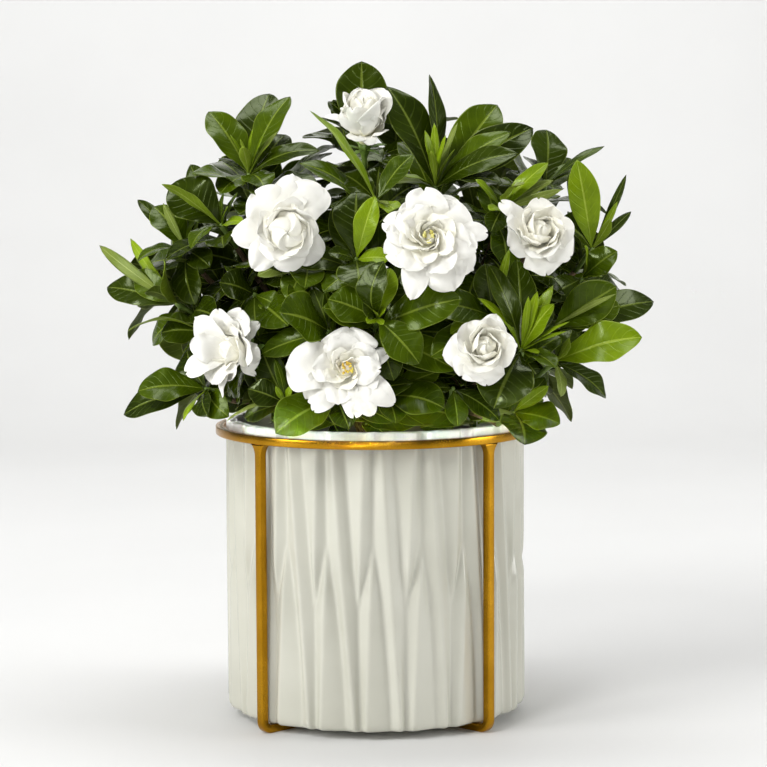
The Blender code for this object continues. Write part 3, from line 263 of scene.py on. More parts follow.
# Half width of a petal along its length: narrow at the base, widest near its rounded end.
def petalOutline(t):
    return t**0.9 * (1 - t) ** 0.45 / 0.4358


# A leaf or petal whose upper face looks toward the axis of the shoot or bloom it grows on.
def makeBlade(base, tip, axis, width, roll, arch):
    along = unit(tip - base)
    face = axis - along * (axis @ along)
    if np.linalg.norm(face) < 0.12:
        face = face - np.array([0.0, 0.0, 1.0]) * 0.3 - along * (along @ face)
        face = face - along * (along @ face)
    face = spin(unit(face), along, roll)
    return {"base": base, "tip": tip, "along": along, "face": face, "width": width, "arch": arch}


# Points of a blade at shares t of its length and v of its half width, -1 to 1, and the way up there.
def bladePoints(blade, t, v, outline, grow=0.0, keel=0.16):
    t = np.asarray(t, float)[:, None, None]
    v = np.asarray(v, float)[None, :, None]
    length = np.linalg.norm(blade["tip"] - blade["base"])
    along, face = blade["along"], blade["face"]
    side = np.cross(along, face)
    bow = blade["arch"] * length
    centre = blade["base"] + along * (length * t) + face * (bow * 4 * t * (1 - t))
    tangent = along * length + face * (bow * 4 * (1 - 2 * t))
    tangent = tangent / np.linalg.norm(tangent, axis=2, keepdims=True)
    up = np.cross(np.broadcast_to(side, tangent.shape), tangent)
    half = blade["width"] / 2 * outline(t) + grow
    return centre + side * (half * v) + up * (half * keel * np.abs(v)), up + v * 0


# A closed blade, thick along its midrib and sharp at both edges: points and faces.
def bladeSolid(blade, stations, thickness, outline, grow=0.0, stalk=0.8):
    inner = stations[1:-1]
    points, up = bladePoints(blade, inner, (-1, 0, 1), outline, grow)
    end = blade["tip"] + blade["along"] * grow
    side = np.cross(blade["along"], blade["face"])
    lift = blade["face"] * (thickness / 2 + grow)
    root = blade["base"]
    verts = [root - side * stalk, root + lift, root + side * stalk, root - lift]
    for row, rise in zip(points, up):
        thick = rise[1] * (thickness / 2 + grow)
        verts += [row[0], row[1] + thick, row[2], row[1] - thick]
    verts.append(end)
    return np.array(verts), ringFaces(len(inner) + 1, 4, True)


# A solid that leaves of other shoots keep clear of.
class Obstacle:
    def __init__(self, owner, verts, faces):
        self.owner = owner
        self.low = verts.min(0)
        self.high = verts.max(0)
        self.tree = BVHTree.FromPolygons([tuple(p) for p in verts], faces)


# Whether a solid touches an obstacle that isn't its owner's.
def anyMeets(obstacles, owner, verts, faces):
    low, high = verts.min(0), verts.max(0)
    tree = None
    for other in obstacles:
        if other.owner == owner or (low > other.high).any() or (high < other.low).any():
            continue
        if tree is None:
            tree = BVHTree.FromPolygons([tuple(p) for p in verts], faces)
        if other.tree.overlap(tree):
            return True
    return False


# Small turns and shortenings of a leaf to try, the gentlest first: (clock, lean, share of length).
def nudges():
    found = []
    for clock in (0, 5, -5, 10, -10, 16, -16, 24, -24):
        for lean in (0, 5, -5, 10, -10, 17, -17):
            for share in (1.0, 0.93, 0.84, 0.74):
                found.append((abs(clock) / 10 + abs(lean) / 8 + (1 - share) * 9, clock, lean, share))
    found.sort()
    return [f[1:] for f in found]


# Whether a point is in the pot's wall, the ring, the potting mix or a bloom's middle.
def insideSolids(points):
    reach = np.hypot(points[:, 0], points[:, 1])
    height = points[:, 2]
    if ((height < soilTop + 2.5) & (reach < potTopRadius - potWall)).any():
        return True
    if ((height < potRim + 1.5) & (reach > potTopRadius - potWall - 1) & (reach < ringInner + 0.5)).any():
        return True
    nearRing = (reach > 102) & (reach < ringInner + barSize + 1.2)
    if ((height < ringHeight + barSize / 2 + 1.2) & nearRing).any():
        return True
    for receptacle, facing, middle, _ in blooms.values():
        centre = receptacle + facing * middle * bloomSink
        if (np.linalg.norm(points - centre, axis=1) < middle + 0.8).any():
            return True
    return False


# A shoot on the far side: two whorls of grown leaves and a tuft of young ones round its axis.
def farWhorls(bearing, reach, height, perWhorl):
    heart = outward(bearing) * reach + [0, 0, height]
    axis = unit([heart[0], heart[1], 45 + (height - 235) * 0.9])
    right = unit(np.cross(axis, [0, 0, 1]))
    upward = np.cross(right, axis)
    leaves = []
    for ring, (lean, length, width, tone) in enumerate(farWhorlKinds):
        count = perWhorl + 1 - ring
        for k in range(count):
            clock = math.radians(360 / count * k + 40 * ring + bearing)
            out = right * math.cos(clock) + upward * math.sin(clock)
            size = length * (1 + 0.12 * math.sin(7 * k + bearing))
            tip = (axis * math.cos(math.radians(lean)) + out * math.sin(math.radians(lean))) * size
            leaves.append((*tip, width, 0, 0.04 if width < narrowLeaf else 0.1, tone))
    return heart, axis, leaves


# The heart, axis and leaves of every shoot by name, the drawn ones first.
def allShoots():
    found = dict(shoots)
    for name, rule in farShoots.items():
        found[name] = farWhorls(*rule)
    return {name: (np.array(heart, float), unit(axis), leaves)
            for name, (heart, axis, leaves) in found.items()}


# Turns or shortens each leaf until it clears everything else, and leaves it out if nothing clears.
def settlePlant(obstacles):
    tries = nudges()
    settled = {}
    dropped = []
    for name, (heart, axis, leaves) in allShoots().items():
        kept = []
        siblings = []
        for index, leaf in enumerate(leaves):
            base = heart + unit(leaf[:3]) * nodeRadius * 0.35
            reach = heart + np.array(leaf[:3], float) - base
            hinge = unit(np.cross(axis, reach))
            for clock, lean, share in tries:
                offset = spin(spin(reach, hinge, lean), axis, clock) * share
                width = leaf[3] * (0.4 + 0.6 * share)
                blade = makeBlade(base, base + offset, axis, width, leaf[4], leaf[5])
                verts, faces = bladeSolid(blade, testStations, leafThickness, leafOutline, leafGap)
                if insideSolids(verts[4:]) or anyMeets(obstacles, name, verts, faces):
                    continue
                outer, outerFaces = bladeSolid(blade, outerStations, 0.8, leafOutline)
                outer = outer[4:]
                outerFaces = [[i - 4 for i in f] for f in outerFaces if min(f) > 3]
                if anyMeets(siblings, "", outer, outerFaces):
                    continue
                kept.append((blade, leaf[6]))
                obstacles.append(Obstacle(name, verts, faces))
                siblings.append(Obstacle(name, outer, outerFaces))
                break
            else:
                dropped.append((name, index))
        settled[name] = (heart, axis, kept)
    return settled, dropped


# Points on a cubic curve.
def bezier(a, b, c, d, count):
    t = np.linspace(0, 1, count)[:, None]
    return a * (1 - t) ** 3 + 3 * b * t * (1 - t) ** 2 + 3 * c * t * t * (1 - t) + d * t**3


# A closed tube along a path. flatEnd is the direction that its last face looks in.
def tubeSolid(path, radii, sides, flatEnd=None):
    path = np.asarray(path, float)
    heading = np.gradient(path, axis=0)
    if flatEnd is not None:
        heading[-1] = flatEnd
    verts = []
    across = None
    for point, ahead, radius in zip(path, heading, radii):
        ahead = unit(ahead)
        if across is None:
            across = unit(np.cross(ahead, [0.3, 0.9, 0.2]))
        across = unit(across - ahead * (across @ ahead))
        other = np.cross(ahead, across)
        for k in range(sides):
            a = 2 * math.pi * k / sides
            verts.append(point + (across * math.cos(a) + other * math.sin(a)) * radius)
    return np.array(verts), ringFaces(len(path), sides, False)


# The main limbs, each from the root crown outward and up.
def limbPaths(count=5):
    paths = {}
    for name, (bearing, reach, height) in limbs.items():
        out = outward(bearing)
        start = out * min(5.0, reach * 0.2) + np.array([0, 0, soilTop - 1])
        end = out * reach + np.array([0, 0, height])
        knee = start + np.array([0, 0, 30]) + out * reach * 0.15
        paths[name] = bezier(start, knee, end * 0.55 + knee * 0.45, end, count)
    return paths


# A branch from the nearest part of a limb to the foot of a twig or flower stalk, arriving along its axis.
def branchPath(paths, foot, axis, count=3):
    best = None
    for path in paths.values():
        for k in range(1, len(path)):
            gap = np.linalg.norm(foot - path[k]) + (60 if path[k][2] > foot[2] + 5 else 0)
            if best is None or gap < best[0]:
                best = (gap, path[k], path[k] - path[k - 1])
    gap, start, ahead = best
    lead = min(gap * 0.35, 22)
    approach = foot - axis * lead
    approach[2] = max(approach[2], potRim + 10)
    return bezier(start, start + unit(ahead) * lead, approach, foot, count)


# All tubes of the woody stems: the root crown, the limbs and a branch to every twig and stalk.
def stemTubes():
    crown = [(0, 0, soilTop + h) for h in (-crownDepth, -crownDepth * 0.5, 2, 9)]
    tubes = [tubeSolid(crown, (6.5, crownRadius - 1.5, crownRadius - 1.5, 5.0), 8)]
    paths = limbPaths()
    for path in paths.values():
        tubes.append(tubeSolid(path, np.linspace(*limbRadii, len(path)), 5))
    for foot, axis in branchEnds():
        tubes.append(tubeSolid(branchPath(paths, foot, axis), branchRadii, 4, axis))
    return tubes


# Where each branch ends, just short of its twig or flower stalk, and the way it points.
def branchEnds():
    ends = []
    for heart, axis, _ in allShoots().values():
        ends.append((heart - axis * (twigLength + clearance), axis))
    for receptacle, facing, _, _ in blooms.values():
        ends.append((receptacle - facing * (stalkLength + clearance), facing))
    return ends


# The green end of a branch that carries a shoot's leaves.
def twigTube(heart, axis):
    return tubeSolid([heart - axis * twigLength, heart], (twigRadius, twigRadius), 4, axis)


# The outer petals of a bloom as blades that spring from just above its receptacle.
def bloomPetals(receptacle, facing, middle, petals):
    base = receptacle + facing * petalSpring
    return [makeBlade(base, receptacle + petal[:3], facing, petal[3], 0, petal[4]) for petal in petals]


# The green cup and stalk behind a bloom.
def calyxTube(bloom):
    place, facing, middle, _ = bloom
    top = middle * (1 - bloomSink) + clearance
    depths = (stalkLength, 13.0, 8.5, 4.5, top)
    radii = (1.7, 1.9, 3.0, 3.6, 4.4)
    return tubeSolid([place - facing * d for d in depths], radii, 8, facing)


# Everything that leaves keep clear of.
def plantObstacles():
    found = []
    for verts, faces in stemTubes():
        found.append(Obstacle("woody_stems", verts, faces))
    for name, (heart, axis, _) in allShoots().items():
        found.append(Obstacle(name, *twigTube(heart, axis)))
    for name, bloom in blooms.items():
        found.append(Obstacle("bloom_" + name, *calyxTube(bloom)))
        for blade in bloomPetals(*bloom):
            solid = bladeSolid(blade, testStations, petalThickness, petalOutline, petalGap)
            found.append(Obstacle("bloom_" + name, *solid))
    return found


# Whorls low on the branches (shares of their length) and on the limbs, kept inside an egg round the bush.
fillerLooks = {"seed": 11, "steps": (0.8, 0.62, 0.42), "perStep": 5, "length": (40, 62), "width": (20, 29),
               "limbSteps": (0.5, 0.62, 0.74, 0.86, 0.97), "perLimbStep": 6, "arch": 0.1, "oldShare": 0.62,
               "lean": (55, 88), "frontMost": -128, "middle": (4, 0, 300), "reach": (168, 140, 130)}
# The turn, lean and size tried in order for each of these leaves.
fillerTries = ((0, 0, 1.0), (14, 0, 1.0), (-14, 0, 1.0), (0, -14, 0.9), (28, 0, 0.9), (-28, 0, 0.9),
               (0, 12, 0.8), (20, 14, 0.75), (-20, -14, 0.75), (0, 0, 0.62), (24, 20, 0.62), (-24, 20, 0.62))


# Leaves that grow lower on each branch and close the bush. They keep clear of all that is there already.
def fillerLeaves(settled, obstacles):
    rng = np.random.default_rng(fillerLooks["seed"])
    middle = np.array(fillerLooks["middle"], float)
    reachOut = np.array(fillerLooks["reach"], float)

    def whorl(name, place, axis, count, offset):
        kept = []
        turn = rng.uniform(0, 360)
        for k in range(count):
            length = rng.uniform(*fillerLooks["length"])
            width = rng.uniform(*fillerLooks["width"])
            lean = math.radians(rng.uniform(*fillerLooks["lean"]))
            roll = rng.uniform(-12, 12)
            age = 0 if rng.uniform() < fillerLooks["oldShare"] else 1
            right = unit(np.cross(axis, [0.2, 0.1, 1.0]))
            out = spin(right, axis, turn + 360 / count * k + rng.uniform(-15, 15))
            base = place + out * offset
            for turnBy, leanBy, size in fillerTries:
                heading = math.cos(lean) * axis + math.sin(lean) * spin(out, axis, turnBy)
                heading = unit(heading + axis * leanBy / 60)
                tip = base + heading * length * size
                far = (tip - middle) / reachOut
                low = tip[2] < potRim + 8 and np.hypot(tip[0], tip[1]) > 80
                if far @ far > 1 or tip[1] < fillerLooks["frontMost"] or low or tip[2] < soilTop + 6:
                    continue
                blade = makeBlade(base, tip, axis, width * size, roll, fillerLooks["arch"])
                verts, faces = bladeSolid(blade, testStations, 0.8, leafOutline)
                if insideSolids(verts[4:]) or anyMeets(obstacles, name, verts, faces):
                    continue
                kept.append((blade, age))
                obstacles.append(Obstacle("filler", verts, faces))
                break
        return kept

    paths = limbPaths()
    extra = {"inner": []}
    for name, (heart, axis, _) in settled.items():
        foot = heart - axis * (twigLength + clearance)
        branch = branchPath(paths, foot, axis)
        kept = whorl(name, heart - axis * 13, axis, fillerLooks["perStep"], 1.4)
        for share in fillerLooks["steps"]:
            place = branch[-1] * share + branch[0] * (1 - share)
            kept += whorl("woody_stems", place, axis, fillerLooks["perStep"], 1.6)
        extra[name] = kept
    for path in limbPaths(fineLimb).values():
        for share in fillerLooks["limbSteps"]:
            here = int(share * (len(path) - 1))
            axis = unit(path[here] - path[here - 1])
            extra["inner"] += whorl("woody_stems", path[here], axis, fillerLooks["perLimbStep"], 2.6)
    return extra


# A new object in the scene.
def placed(name, data):
    thing = bpy.data.objects.new(name, data)
    bpy.context.scene.collection.objects.link(thing)
    return thing


# Gathers the parts of one piece: rings of points, their faces, maps, tints and finishes.
class Piece:
    def __init__(self):
        self.points = []
        self.faces = []
        self.maps = []
        self.tints = []
        self.marks = []
        self.count = 0

    def add(self, points, faces, marks, maps=None, tint=0.5):
        points = np.asarray(points, float)
        maps = np.zeros((len(points), 2)) if maps is None else maps
        self.points.append(points)
        self.maps.append(maps)
        self.tints.append(np.full(len(points), tint))
        self.faces += [tuple(i + self.count for i in face) for face in faces]
        self.marks += list(marks) if hasattr(marks, "__len__") else [marks] * len(faces)
        self.count += len(points)

    # Makes the piece, gives it its finishes, and lets it ride in place of a CAD node.
    def make(self, name, finishes, node=None):
        points = np.concatenate(self.points) * mm
        mesh = bpy.data.meshes.new(name)
        mesh.from_pydata(points.tolist(), [], self.faces)
        layer = mesh.uv_layers.new(name="bladeMap")
        corners = np.empty(len(mesh.loops), np.int32)
        mesh.loops.foreach_get("vertex_index", corners)
        layer.data.foreach_set("uv", np.concatenate(self.maps)[corners].astype(np.float32).ravel())
        tint = mesh.attributes.new("tint", "FLOAT", "POINT")
        tint.data.foreach_set("value", np.concatenate(self.tints).astype(np.float32))
        for finish in finishes:
            mesh.materials.append(finish)
        mesh.polygons.foreach_set("material_index", np.array(self.marks, np.int32))
        mesh.polygons.foreach_set("use_smooth", np.ones(len(mesh.polygons), bool))
        thing = placed(name, mesh)
        if node:
            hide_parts(node)
        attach(thing, "root")
        return thing


# Faces between closed rings of points, a cap on the first ring and a fan to a last point or a last cap.
def ringFaces(rows, around, tipPoint):
    faces = [tuple(reversed(range(around)))]
    for r in range(rows - 1):
        for k in range(around):
            n = (k + 1) % around
            faces.append((r * around + k, r * around + n, (r + 1) * around + n, (r + 1) * around + k))
    last = (rows - 1) * around
    if tipPoint:
        faces += [(last + k, last + (k + 1) % around, rows * around) for k in range(around)]
    else:
        faces.append(tuple(range(last, last + around)))
    return faces


# A share from 0 to 1 that starts and ends softly.
def smooth(x, low, high):
    x = np.clip((x - low) / (high - low), 0, 1)
    return x * x * (3 - 2 * x)


# Veins, ribs and waves of a fine leaf: lengths in millimetres, shares of its half width, twist in degrees.
leafShape = {"veins": 9, "veinSlope": 1.7, "quilt": 0.42, "ribDepth": 0.7, "thickness": 0.55, "stalk": 0.75,
             "keel": 0.15, "wave": 0.1, "droop": 0.1, "twist": 12}
droopFrom = 0.55  # the share of a leaf's length where it starts to hang


# Rings of points round a blade: along its length, the upper side first and then the under side.
def bladeRings(blade, t, v, outline, shape):
    length = np.linalg.norm(blade["tip"] - blade["base"])
    along, face = blade["along"], blade["face"]
    across = np.cross(along, face)
    bow = blade["arch"] * length
    t = t[:, None]
    past = np.clip(t - droopFrom, 0, 1)
    sag = shape["droop"] * length * past ** 2 * 2.2
    centre = blade["base"] + along * (length * t) + face * (bow * 4 * t * (1 - t) - sag)
    slope = along * length + face * (bow * 4 * (1 - 2 * t) - shape["droop"] * length * past * 4.4)
    slope = slope / np.linalg.norm(slope, axis=1, keepdims=True)
    up = np.cross(np.broadcast_to(across, slope.shape), slope)
    turn = np.radians(shape["twist"]) * (t - 0.35)
    side = across * np.cos(turn) + up * np.sin(turn)
    up = np.cross(side, slope)
    half = np.maximum(blade["width"] / 2 * outline(t), shape["stalk"])
    return length, centre, side, up, half


# Adds a blade from its upper and lower sides, closed at the tip.
def closeBlade(piece, top, low, v, t, tip, marks, rng):
    rings = np.concatenate([top, low[:, -2:0:-1]], axis=1)
    maps = np.broadcast_to(np.concatenate([v, v[:, -2:0:-1]], axis=1) / 2 + 0.5, rings.shape[:2])
    maps = np.stack([maps, np.broadcast_to(t, maps.shape)], axis=2).reshape(-1, 2)
    points = np.concatenate([rings.reshape(-1, 3), [tip]])
    maps = np.concatenate([maps, [[0.5, 1.0]]])
    piece.add(points, ringFaces(len(t), rings.shape[1], True), marks, maps, rng.uniform())


# A fine leaf: sunken midrib and side veins, quilted between them, wavy at the edge.
def leafGrid(piece, blade, age, rng):
    big = blade["width"] >= narrowLeaf
    rows, columns = (28, 11) if big else (12, 5)
    t = np.linspace(0, 1, rows + 1)[:-1]
    v = np.sin(np.linspace(-math.pi / 2, math.pi / 2, columns))
    shape = dict(leafShape)
    shape["twist"] *= rng.uniform(-1, 1)
    shape["droop"] *= rng.uniform(0.2, 1) if big else 0
    length, centre, side, up, half = bladeRings(blade, t, v, leafOutline, shape)
    v = v[None, :]
    t = t[:, None]
    phase = rng.uniform(0, 6.28, 2)
    waves = rng.uniform(1.6, 2.6)
    lift = half * shape["keel"] * (np.sqrt(v**2 + 0.02) - 0.14)
    ripple = np.sin(2 * math.pi * waves * t + phase[0] + np.sign(v) * phase[1])
    lift = lift + half * shape["wave"] * v**2 * ripple
    if big:
        wave = t * shape["veins"] - np.abs(v) ** 1.3 * shape["veinSlope"] + 0.35 * (v > 0)
        dome = np.abs(np.sin(math.pi * wave)) ** 0.7 - 0.6
        quilt = shape["quilt"] * dome * (1 - v**4) * smooth(np.abs(v), 0.02, 0.25)
        lift = lift + quilt * smooth(t, 0.1, 0.25)
    rib = np.exp(-((v * half / 0.9) ** 2)) * smooth(t, 0.05, 0.2) * (1 - 0.6 * t)
    thick = shape["thickness"] * (1 - v**4) + np.exp(-((t / 0.1) ** 2)) * 0.5
    topLift = lift - shape["ribDepth"] * rib * (0.5 if big else 0.2) + thick / 2
    lowLift = lift - shape["ribDepth"] * rib * (0.9 if big else 0.3) - thick / 2
    top = centre[:, None] + side[:, None] * (half * v)[..., None] + up[:, None] * topLift[..., None]
    low = centre[:, None] + side[:, None] * (half * v)[..., None] + up[:, None] * lowLift[..., None]
    drop = blade["face"] * (shape["droop"] * length * (1 - droopFrom) ** 2 * 2.2)
    under = (4, 4, 5, 5)[age]
    row = [age if k < columns - 1 else under for k in range(2 * columns - 2)]
    closeBlade(piece, top, low, v, t, blade["tip"] - drop, [age] + row * rows, rng)


# The cup, curl and ruffle of a fine petal, as shares of its half width, and the points along and across it.
petalShape = {"thickness": 1.0, "cup": 0.22, "curl": 0.24, "tipCurl": 0.1, "wave": 0.12, "uneven": 0.14,
              "notch": 0.1, "frill": 0.05, "stalk": 1.3, "twist": 10, "droop": 0.0, "point": 0.1,
              "rows": 20, "columns": 15}


# A fine petal: cupped, with its sides and tip curled back, a ruffled edge and a slight notch.
def petalGrid(piece, blade, mark, rng, **changes):
    shape = {**petalShape, **changes}
    rows, columns = shape["rows"], shape["columns"]
    t = np.sin(np.linspace(0, math.pi / 2, rows + 1)[:-1]) ** 0.9
    v = np.sin(np.linspace(-math.pi / 2, math.pi / 2, columns))
    shape["twist"] *= rng.uniform(-1, 1)
    length, centre, side, up, half = bladeRings(blade, t, v, petalOutline, shape)
    v = v[None, :]
    t = t[:, None]
    half = half * (1 - shape["point"] * smooth(t, 0.6, 1.05))
    phase = rng.uniform(0, 6.28, 4)
    spread = 1 + shape["uneven"] * np.sin(5.5 * t + phase[2] + 2 * np.sign(v)) * smooth(t, 0.15, 0.6)
    rim = smooth(np.abs(v), 0.25, 1.0)
    lift = half * shape["cup"] * v**2 * smooth(t, 0.0, 0.5)
    lift = lift - half * shape["curl"] * smooth(np.abs(v), 0.6, 1.0) * smooth(t, 0.3, 0.7)
    lift = lift - length * shape["tipCurl"] * smooth(t, 0.7, 1.0) ** 2
    ripple = np.sin(2 * math.pi * 1.7 * t + phase[0] + np.sign(v) * phase[1]) * rim
    ripple = ripple + np.sin(v * 4.5 + phase[1]) * smooth(t, 0.5, 1.0)
    frill = np.sin(2 * math.pi * 4.1 * t + phase[3] + np.sign(v)) * rim
    frill = frill + np.sin(v * 11 + phase[3]) * smooth(t, 0.8, 1.0)
    lift = lift + half * (shape["wave"] * ripple + shape["frill"] * frill)
    thick = shape["thickness"] * np.sqrt(np.clip(1 - v**4, 0, 1)) * (1 - 0.5 * smooth(t, 0.7, 1.0))
    back = blade["along"] * (length * shape["notch"] * rng.uniform(-0.4, 1.0))
    flat = centre[:, None] + side[:, None] * (half * v * spread)[..., None]
    flat = flat - back * (np.exp(-((v / 0.4) ** 2)) * smooth(t, 0.75, 1.0))[..., None]
    top = flat + up[:, None] * (lift + thick / 2)[..., None]
    low = flat + up[:, None] * (lift - thick / 2)[..., None]
    tip = blade["tip"] - up[-1] * (length * shape["tipCurl"]) - back
    closeBlade(piece, top, low, v, t, tip, mark, rng)


# How far along a path each of its points is.
def runAlong(path):
    return np.concatenate([[0], np.cumsum(np.linalg.norm(np.diff(path, axis=0), axis=1))])


# A round rod along a path, with its length in the map.
def rod(piece, path, radii, sides, mark, tint=0.5, roughen=0.0, rng=None, rounded=False):
    path = np.asarray(path, float)
    points, _ = tubeSolid(path, radii, sides)
    points = points.reshape(len(path), sides, 3)
    if roughen:
        uneven = rng.uniform(1 - roughen, 1 + roughen, points.shape[:2])[..., None]
        points = path[:, None] + (points - path[:, None]) * uneven
    maps = np.broadcast_arrays(np.linspace(0, 1, sides)[None, :], runAlong(path)[:, None] / 20)
    maps = np.stack(maps, axis=2).reshape(-1, 2)
    if rounded:
        tip = path[-1] + unit(path[-1] - path[-2]) * radii[-1] * 0.6
        points = np.concatenate([points.reshape(-1, 3), [tip]])
        maps = np.concatenate([maps, maps[-1:]])
    piece.add(points.reshape(-1, 3), ringFaces(len(path), sides, rounded), mark, maps, tint)


# A Catmull-Rom curve through the given points.
def smoothPath(path, count):
    path = np.asarray(path, float)
    ends = np.concatenate([[2 * path[0] - path[1]], path, [2 * path[-1] - path[-2]]])
    found = []
    for k in range(len(path) - 1):
        a, b, c, d = ends[k:k + 4]
        for s in np.linspace(0, 1, count, endpoint=False):
            bend = (2 * a - 5 * b + 4 * c - d) * s**2 + (3 * b - a - 3 * c + d) * s**3
            found.append(0.5 * (2 * b + (c - a) * s + bend))
    return np.array(found + [path[-1]])


# A Principled material, and short ways to put nodes before it.
class Finish:
    def __init__(self, name, **sockets):
        self.material = bpy.data.materials.new(name)
        self.material.use_nodes = True
        self.tree = self.material.node_tree
        self.shader = self.tree.nodes["Principled BSDF"]
        for socket, value in sockets.items():
            self.shader.inputs[socket.replace("_", " ")].default_value = value

    def put(self, kind, inputs, output=0, **settings):
        node = self.tree.nodes.new("ShaderNode" + kind)
        for key, value in settings.items():
            setattr(node, key, value)
        for key, value in inputs.items():
            if isinstance(value, bpy.types.NodeSocket):
                self.tree.links.new(value, node.inputs[key])
            else:
                node.inputs[key].default_value = value
        return node.outputs[output]

    def sum(self, operation, a, b=0.0):
        return self.put("Math", {0: a, 1: b}, operation=operation)

    def times(self, a, b):
        return self.sum("MULTIPLY", a, b)

    def plus(self, a, b):
        return self.sum("ADD", a, b)

    def ease(self, value, low, high, start=0.0, end=1.0):
        inputs = {0: value, 1: low, 2: high, 3: start, 4: end}
        return self.put("MapRange", inputs, interpolation_type="SMOOTHSTEP")

    def mix(self, share, a, b):
        a = a if isinstance(a, bpy.types.NodeSocket) else (*a, 1.0)
        b = b if isinstance(b, bpy.types.NodeSocket) else (*b, 1.0)
        return self.put("Mix", {0: share, 6: a, 7: b}, output=2, data_type="RGBA")

    # Base colour from one tone to another as the value goes from low to high.
    def tones(self, value, low, high, first, second, most=1.0):
        self.wire("Base Color", self.mix(self.ease(value, low, high, 0.0, most), first, second))

    # Roughness from one share to another as the value goes from low to high.
    def rough(self, value, low, high, first, second):
        self.wire("Roughness", self.ease(value, low, high, first, second))

    def noise(self, scale, detail=3.0, vector=None, roughness=0.5):
        inputs = {"Scale": scale, "Detail": detail, "Roughness": roughness}
        inputs["Vector"] = self.place() if vector is None else vector
        return self.put("TexNoise", inputs)

    def place(self):
        return self.put("TexCoord", {}, output=3)

    def bladeMap(self):
        node = self.put("SeparateXYZ", {0: self.put("UVMap", {}, uv_map="bladeMap")}).node
        return node.outputs[0], node.outputs[1]

    def tint(self):
        return self.put("Attribute", {}, output=2, attribute_name="tint")

    def bump(self, height, distance, strength=1.0):
        made = self.put("Bump", {"Height": height, "Distance": distance, "Strength": strength})
        self.wire("Normal", made)

    def wire(self, socket, value):
        self.tree.links.new(value, self.shader.inputs[socket])


# The four ages of leaf in the order of their tones, then the under sides of the old and the young ones.
leafLooks = {
    "old": {"deep": (0.00936, 0.0166, 0.000432), "light": (0.0302, 0.049, 0.00108),
            "vein": (0.075, 0.115, 0.006), "rib": (0.17, 0.22, 0.03), "rough": (0.14, 0.24), "coat": 0.2},
    "grown": {"deep": (0.0256, 0.0468, 0.000604), "light": (0.0664, 0.106, 0.00151),
              "vein": (0.12, 0.19, 0.008), "rib": (0.24, 0.31, 0.035), "rough": (0.16, 0.28), "coat": 0.18},
    "young": {"deep": (0.123, 0.197, 0.00164), "light": (0.23, 0.336, 0.00492),
              "vein": (0.33, 0.46, 0.02), "rib": (0.44, 0.55, 0.07), "rough": (0.26, 0.40), "coat": 0.15},
    "pale": {"deep": (0.117, 0.162, 0.0225), "light": (0.225, 0.279, 0.054),
             "vein": (0.33, 0.39, 0.10), "rib": (0.42, 0.48, 0.16), "rough": (0.34, 0.48), "coat": 0.1},
    "underOld": {"deep": (0.051, 0.0765, 0.0068), "light": (0.0935, 0.1275, 0.0153),
                 "vein": (0.20, 0.26, 0.05), "rib": (0.34, 0.40, 0.10), "rough": (0.50, 0.62), "coat": 0.0},
    "underYoung": {"deep": (0.136, 0.2, 0.0085), "light": (0.212, 0.289, 0.0213),
                   "vein": (0.33, 0.43, 0.07), "rib": (0.42, 0.50, 0.12), "rough": (0.45, 0.58), "coat": 0.0},
}


# A waxy leaf: mottled green, paler midrib, side veins where the mesh has them, a pale edge.
def leafFinish(name, looks):
    finish = Finish("leaf" + name[0].upper() + name[1:], Coat_Weight=looks["coat"], Coat_Roughness=0.12,
                    Specular_IOR_Level=0.26, Coat_IOR=1.4, Specular_Tint=(0.8, 1.0, 0.4, 1.0),
                    Coat_Tint=(0.97, 1.0, 0.85, 1.0))
    u, along = finish.bladeMap()
    signed = finish.sum("MULTIPLY_ADD", u, 2.0)
    signed.node.inputs[2].default_value = -1.0
    across = finish.sum("ABSOLUTE", signed)
    bend = finish.times(finish.sum("POWER", across, 1.3), -leafShape["veinSlope"])
    wave = finish.sum("MULTIPLY_ADD", along, float(leafShape["veins"]))
    finish.tree.links.new(bend, wave.node.inputs[2])
    wave = finish.plus(wave, finish.times(finish.sum("GREATER_THAN", u, 0.5), 0.35))
    near = finish.sum("PINGPONG", wave, 0.5)
    inside = finish.times(finish.ease(across, 0.75, 0.97, 1.0, 0.0), finish.ease(along, 0.06, 0.2))
    vein = finish.times(finish.ease(near, 0.02, 0.1, 1.0, 0.0), inside)
    rib = finish.ease(across, 0.025, 0.085, 1.0, 0.0)
    mottle = finish.ease(finish.noise(95.0, 4.0), 0.3, 0.7)
    patch = finish.plus(finish.times(mottle, 0.45), finish.times(finish.tint(), 0.55))
    colour = finish.mix(patch, looks["deep"], looks["light"])
    colour = finish.mix(finish.times(vein, 0.22), colour, looks["vein"])
    colour = finish.mix(finish.times(rib, 0.6), colour, looks["rib"])
    colour = finish.mix(finish.ease(across, 0.93, 1.0, 0.0, 0.7), colour, looks["rib"])
    finish.wire("Base Color", colour)
    finish.rough(finish.noise(60.0, 2.0), 0.3, 0.7, *looks["rough"])
    grain = finish.times(finish.noise(1400.0, 2.0), 0.12)
    height = finish.sum("SUBTRACT", grain, finish.plus(finish.times(vein, 0.8), rib))
    finish.bump(height, 0.0003, 0.6)
    return finish.material


petalLooks = {
    "outer": {"edge": (0.90, 0.89, 0.835), "body": (0.90, 0.885, 0.80), "base": (0.84, 0.83, 0.52)},
    "inner": {"edge": (0.94, 0.925, 0.84), "body": (0.945, 0.92, 0.76), "base": (0.93, 0.885, 0.52)},
}


